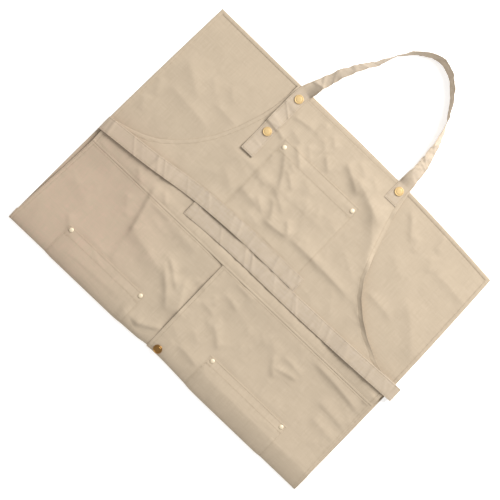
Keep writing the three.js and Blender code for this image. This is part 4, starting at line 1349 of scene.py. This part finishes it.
class APRON_OT_neck_strap(ApronOperator):
    """Make the neck strap, flat on the bib and standing on edge round its loop"""

    bl_idname = "apron.neck_strap"
    bl_label = "Neck strap"

    def execute(self, context):
        sizes, looks = self.looks(context)
        width, thick = mm(sizes.strap_width), mm(sizes.webbing)
        line = rounded_curve(STRAP_ROWS, STRAP_PITCH)
        x, y = line[:, 0], line[:, 1]
        turn = np.radians(np.maximum(line[:, 2], 0.0))
        tangent = unit(np.gradient(line[:, :2], axis=0))
        inward = stacked(tangent[:, 1], -tangent[:, 0], 0.0)
        spread = np.linspace(-width / 2, width / 2, TAPE_PROBES)
        probe_x, probe_y = x[:, None] + spread * inward[:, :1], y[:, None] + spread * inward[:, 1:2]
        beneath = bib_top(probe_x, probe_y).max(axis=1)
        from_end = (len(x) - 1 - np.arange(len(x))) * STRAP_PITCH
        sewn_down = hump(from_end, SEWN_SPAN)
        thickness = thick * (1.0 - (1.0 - SEWN_SHARE) * sewn_down)
        rest = eased_over(beneath, STRAP_EASE_ROWS) + GAP - (GAP - DROOP_GAP) * sewn_down
        snap_rows = []
        for name in NECK_SNAP_NODES:
            place = cap_place(name)[0]
            near = int(np.argmin(np.hypot(x - place[0], y - place[1])))
            snap_rows.append(near)
            away = (np.arange(len(x)) - near) * STRAP_PITCH
            rest += (place[2] - CAP_SEAT - thickness[near] - rest[near]) * hump(away, SNAP_HOLD_SPAN)
        rest += TAIL_LIFT * hump(np.arange(len(x)) * STRAP_PITCH, TAIL_LIFT_SPAN)
        on_bib = 1.0 - smooth(STRAP_LEAVES, STRAP_LANDS, y)
        standing = width / 2 * np.sin(turn) + thickness / 2 * np.abs(np.cos(turn))
        middle = stacked(x, y, on_bib * rest + standing)
        across = inward * np.cos(turn)[:, None] + np.array((0.0, 0.0, 1.0)) * np.sin(turn)[:, None]

        def lift(places):
            total = np.zeros((len(x), len(places)))
            for row in STRAP_WRINKLES:
                off = (y - row.y)[:, None] - WRINKLE_SLANT * row.side * places
                shape = np.where(off > 0, hump(off, row.above), hump(off, row.below))
                total += row.height * shape * (np.sign(x) == row.side)[:, None]
            along = np.arange(len(x)) * STRAP_PITCH
            waves = np.sin(along / RIPPLE_LENGTHS[0]) + np.sin(along / RIPPLE_LENGTHS[1] + RIPPLE_LAG)
            loose = (1.0 - hump(from_end, STRAP_SMOOTH_END)) * (1.0 - hump(along, STRAP_SMOOTH_END))
            for held in snap_rows:
                loose = loose * smooth(*SNAP_FLAT, np.abs(along - held * STRAP_PITCH))
            crumple = tape_creased(tape_crumple(0.0, along[-1]), along, places)
            total += STRAP_CRUMPLE * loose[:, None] * crumple
            return total + (RIPPLE * waves * (1.0 - on_bib))[:, None]

        top, under, face, flat, at = ribbon(middle, across, width, thickness, lift, sizes)
        low = np.minimum(top, under)
        over_bib = (low[..., 1] < BIB_TOP_Y) & (edge_room(low[..., 0], low[..., 1])[0] > 0.0)
        bed = np.where(over_bib, bib_top(low[..., 0], low[..., 1]) + SEWN_GAP, 0.0)
        raised = eased_over(np.maximum(bed - low[..., 2], 0.0).max(axis=1), STRAP_SETTLE_ROWS)
        top[..., 2] += raised[:, None]
        under[..., 2] += raised[:, None]
        piece = sheet_object("neck_strap_tape", top, under, flat, looks["doubled_canvas_tape"])
        seat_piece(piece, "neck_strap")
        outs = np.repeat(face[:, None], top.shape[1], axis=1)
        far = top.shape[1] - 1 - at
        tail, sewn = TAPE_END_ROWS, len(x) - 1 - TAPE_END_ROWS
        runs = [column_run(grid, facing, column, tail, sewn)
                for grid, facing in ((top, outs), (under, -outs)) for column in (at, far)]
        for row in (tail, sewn):
            runs += [row_run(grid, facing, row, at, far) for grid, facing in ((top, outs), (under, -outs))]
        threads = stitch_object("neck_strap_stitches", runs, sizes, looks["spun_sewing_thread"])
        return {"FINISHED"}


class APRON_OT_waist_ties(ApronOperator):
    """Make the two waist ties, turned round the sides and laid across the front"""

    bl_idname = "apron.waist_ties"
    bl_label = "Waist ties"

    def execute(self, context):
        sizes, looks = self.looks(context)
        width, thick = mm(sizes.tie_width), mm(sizes.webbing)
        surface = bib_top
        for tie in TIES:
            line = self.make_tie(tie, surface, width, thick, sizes, looks)
            surface = self.covered(surface, line, width, thick)
        return {"FINISHED"}

    def covered(self, surface, line, width, thick):
        """The surface with a tie lying on it."""
        order = np.argsort(line[:, 0])
        xs, ys, zs = line[order].T

        def top(x, y):
            beside = np.abs(y - np.interp(x, xs, ys)) > width / 2 + TIE_SPREAD
            past = (x < xs[0] - TIE_PAST) | (x > xs[-1])
            return np.maximum(surface(x, y), np.where(beside | past, 0.0, np.interp(x, xs, zs) + thick / 2))

        return top

    def make_tie(self, tie, surface, width, thick, sizes, looks):
        """Make one tie on a surface, and give its middle line on top."""
        inward = -tie.side
        end = tie.rows[-1].x
        x = np.linspace(tie.turn_x, end, int(abs(end - tie.turn_x) / TIE_PITCH) + 1)
        curve = rounded_curve(tie.rows, TIE_PITCH)
        order = np.argsort(curve[:, 0])
        y = np.interp(x, curve[order, 0], curve[order, 1])
        spread = np.linspace(-width / 2, width / 2, TAPE_PROBES)
        over = np.clip(x, BIB_ROWS[0].left + WAIST_INSET, BIB_ROWS[0].right - WAIST_INSET)
        beneath = surface(over[:, None] + 0 * spread, y[:, None] + spread).max(axis=1)
        raised = tie.lift * hump(x - tie.lift_x, TIE_LIFT_SPAN)
        falling = tie.fall * (1.0 - smooth(0.0, TIE_FALL_SPAN, np.abs(x - tie.turn_x)))
        pressed = 1.0 - (1.0 - TIE_END_SHARE) * hump(x - end, TIE_END_SPAN)
        z = eased_over(beneath, int(TIE_REACH / TIE_PITCH)) + (GAP + thick / 2) * pressed + raised - falling
        radius = (z[0] - TIE_BACK) / 2
        turn_at = tie.turn_x + inward * radius
        angles = np.linspace(0.0, math.pi, TIE_TURN_STEPS)
        turn = stacked(turn_at - inward * radius * np.sin(angles), y[0],
                       TIE_BACK + radius * (1.0 - np.cos(angles)))
        sewn = np.full((TIE_SEWN_STEPS, 3), (0.0, y[0], TIE_BACK))
        sewn[:, 0] = np.linspace(turn_at + inward * TIE_SEWN, turn_at, TIE_SEWN_STEPS, endpoint=False)
        shown = np.abs(x - tie.turn_x) > radius + TIE_TURN_CLEAR
        run = stacked(x, y, z)[shown]
        middle = np.concatenate((sewn, turn, run))
        across = np.zeros_like(middle) + (0.0, 1.0, 0.0)
        on_top = np.arange(len(middle)) >= len(sewn) + TIE_TURN_STEPS

        def lift(places):
            table = tie.creases + tape_crumple(tie.turn_x, end)
            total = tape_creased(table, middle[:, 0], places)
            return np.where(on_top[:, None], tie.side * total, 0.0)

        shares = np.full(len(sewn), TIE_SEWN_SHARE), np.ones(TIE_TURN_STEPS), pressed[shown]
        thicknesses = thick * np.concatenate(shares)
        top, under, face, flat, at = ribbon(middle, across, width, thicknesses, lift, sizes)
        piece = sheet_object(tie.name + "_tape", top, under, flat, looks["doubled_canvas_tape"])
        seat_piece(piece, tie.name)
        outs = np.repeat(face[:, None], top.shape[1], axis=1)
        far = top.shape[1] - 1 - at
        last = len(middle) - TAPE_END_ROWS
        up = face[-1, 2] > 0
        grid, facing = (top, outs) if up else (under, -outs)
        runs = [column_run(grid, facing, column, TAPE_END_ROWS, last) for column in (at, far)]
        runs.append(row_run(grid, facing, last, at, far))
        threads = stitch_object(tie.name + "_stitches", runs, sizes, looks["spun_sewing_thread"])
        return run


def select_faces(piece, wanted):
    """In edit mode, select only the faces that a test on their normal accepts."""
    grid = bmesh.from_edit_mesh(piece.data)
    for face in grid.faces:
        face.select_set(wanted(face.normal))
    bmesh.update_edit_mesh(piece.data)


def cap_template(name, cap):
    """A stamped cap at the origin: a drum whose foot is drawn in and whose top steps up to a crown."""
    bpy.ops.object.select_all(action="DESELECT")
    wall = cap.wall * MM
    bpy.ops.mesh.primitive_cylinder_add(
        vertices=CAP_SIDES, radius=cap.radius * MM, depth=wall, location=(0, 0, wall / 2))
    piece = bpy.context.object
    piece.name = name
    bpy.ops.object.transform_apply(location=True, rotation=True, scale=True)
    bpy.ops.object.mode_set(mode="EDIT")
    bpy.ops.mesh.select_mode(type="FACE")
    select_faces(piece, lambda normal: normal.z < -CAP_FACING)
    draw_in = cap.foot / cap.radius
    bpy.ops.transform.resize(value=(draw_in, draw_in, 1.0))
    select_faces(piece, lambda normal: normal.z > CAP_FACING)
    for step in cap.steps:
        bpy.ops.mesh.inset(thickness=step.inward * MM, depth=step.rise * MM)
    bpy.ops.object.mode_set(mode="OBJECT")
    bevel = piece.modifiers.new("rounded edges", "BEVEL")
    bevel.width = CAP_BEVEL * MM
    bevel.segments = CAP_BEVEL_STEPS
    bevel.limit_method = "ANGLE"
    bevel.angle_limit = CAP_BEVEL_ANGLE
    bpy.ops.object.modifier_apply(modifier=bevel.name)
    bpy.ops.object.shade_smooth_by_angle(angle=CAP_SMOOTH_ANGLE)
    return piece


def place_caps(template, nodes, material):
    """Copy a cap to the place of each packed one, each copy with its own mesh, and remove the first."""
    for name in nodes:
        place, axis = cap_place(name)
        turn = Vector((0, 0, 1)).rotation_difference(Vector(axis)).to_matrix().to_4x4()
        mesh = template.data.copy()
        mesh.transform(Matrix.Translation(Vector((place + SHIFT) * MM)) @ turn)
        mesh.materials.clear()
        mesh.materials.append(material)
        seat_piece(new_object(name + "_cap", mesh), name)
    bpy.data.objects.remove(template)


class APRON_OT_rivets(ApronOperator):
    """Make the six rivet caps at the pockets' corners"""

    bl_idname = "apron.rivets"
    bl_label = "Rivets"

    def execute(self, context):
        colour = context.scene.apron_colours.rivet
        bright = cap_material("satin_aluminium", colour, rough=0.6, spread=0.06, metallic=0.5)
        place_caps(cap_template("rivet", RIVET), RIVET_NODES, bright)
        return {"FINISHED"}


class APRON_OT_snaps(ApronOperator):
    """Make the snap caps of the neck strap and the fold"""

    bl_idname = "apron.snaps"
    bl_label = "Snaps"

    def execute(self, context):
        colours = context.scene.apron_colours
        brass = cap_material("satin_brass", colours.brass, rough=0.5, spread=0.06, metallic=0.45)
        place_caps(cap_template("neck_snap", SNAP), NECK_SNAP_NODES, brass)
        # Painted shade: the same brass, darker for the shade and dark reflections at the fold
        brass_in_shade = cap_material("brass_painted_darker", colours.fold_snap_painted_shade, rough=0.4, spread=0.08, metallic=1.0)
        place_caps(cap_template("fold_snap", SNAP), LEG_SNAP_NODES, brass_in_shade)
        return {"FINISHED"}


class APRON_OT_stage(bpy.types.Operator):
    """Set the pale floor, the soft light and the camera above"""

    bl_idname = "apron.stage"
    bl_label = "Stage"

    def execute(self, context):
        scene, stage = context.scene, context.scene.apron_stage
        bpy.ops.object.select_all(action="DESELECT")
        bpy.ops.mesh.primitive_plane_add(size=FLOOR_SIZE, location=(0, 0, -FLOOR_DROP))
        floor = bpy.context.object
        floor.name = "floor"
        material, _, shader = new_material("pale_paper_floor")
        shader.inputs["Base Color"].default_value = linear(scene.apron_colours.floor)
        shader.inputs["Roughness"].default_value = 0.9
        # The sheet is lit from beneath too, so that shadows on it stay faint.
        shader.inputs["Emission Color"].default_value = linear(scene.apron_colours.floor)
        shader.inputs["Emission Strength"].default_value = stage.floor_glow
        floor.data.materials.append(material)
        middle = Vector((stage.view_x, stage.view_y, 0.0))
        self.add_key(middle, stage.key)
        world = bpy.data.worlds.new("studio")
        world.use_nodes = True
        sky = world.node_tree.nodes["Background"]
        sky.inputs["Color"].default_value = (1.0, 1.0, 1.0, 1.0)
        sky.inputs["Strength"].default_value = stage.sky
        scene.world = world
        scene.view_settings.view_transform = "Standard"
        data = bpy.data.cameras.new("camera")
        data.lens = stage.lens
        camera = new_object("camera", data)
        distance = stage.view_width * stage.lens / data.sensor_width
        camera.location = middle + Vector((0, 0, VIEW_HEIGHT + distance))
        camera.rotation_euler = (0.0, 0.0, stage.turn)
        scene.camera = camera
        return {"FINISHED"}

    def add_key(self, middle, power):
        """Add the main soft light, which faces the middle of the view."""
        way = Vector(KEY_WAY)
        data = bpy.data.lights.new("key", "AREA")
        data.shape = "DISK"
        data.size = KEY_SIZE
        data.energy = power
        light = new_object("key", data)
        light.location = middle + way.normalized() * KEY_DISTANCE
        light.rotation_euler = way.to_track_quat("Z", "Y").to_euler()


class APRON_PT_pieces(bpy.types.Panel):
    """Lists the operators that make the apron"""

    bl_label = "Pottery apron"
    bl_idname = "APRON_PT_pieces"
    bl_space_type = "VIEW_3D"
    bl_region_type = "UI"
    bl_category = "Apron"

    def draw(self, context):
        for operator in OPERATORS:
            self.layout.operator(operator.bl_idname)


OPERATORS = (
    APRON_OT_bib_panel, APRON_OT_legs, APRON_OT_pockets, APRON_OT_neck_strap, APRON_OT_waist_ties,
    APRON_OT_rivets, APRON_OT_snaps, APRON_OT_stage,
)
GROUPS = {"apron_sizes": ApronSizes, "apron_colours": ApronColours, "apron_stage": ApronStage}


def register():
    """Register the classes and give the scene its properties."""
    for made in (*GROUPS.values(), *OPERATORS, APRON_PT_pieces):
        bpy.utils.register_class(made)
    for name, group in GROUPS.items():
        setattr(bpy.types.Scene, name, bpy.props.PointerProperty(type=group))


def unregister():
    """Take both away again."""
    for name in GROUPS:
        delattr(bpy.types.Scene, name)
    for made in (APRON_PT_pieces, *reversed(OPERATORS), *GROUPS.values()):
        bpy.utils.unregister_class(made)


def main():
    """Make every piece and the stage."""
    register()
    bpy.ops.apron.bib_panel()
    bpy.ops.apron.legs()
    bpy.ops.apron.pockets()
    bpy.ops.apron.neck_strap()
    bpy.ops.apron.waist_ties()
    bpy.ops.apron.rivets()
    bpy.ops.apron.snaps()
    bpy.ops.apron.stage()


if __name__ == "__main__":
    main()
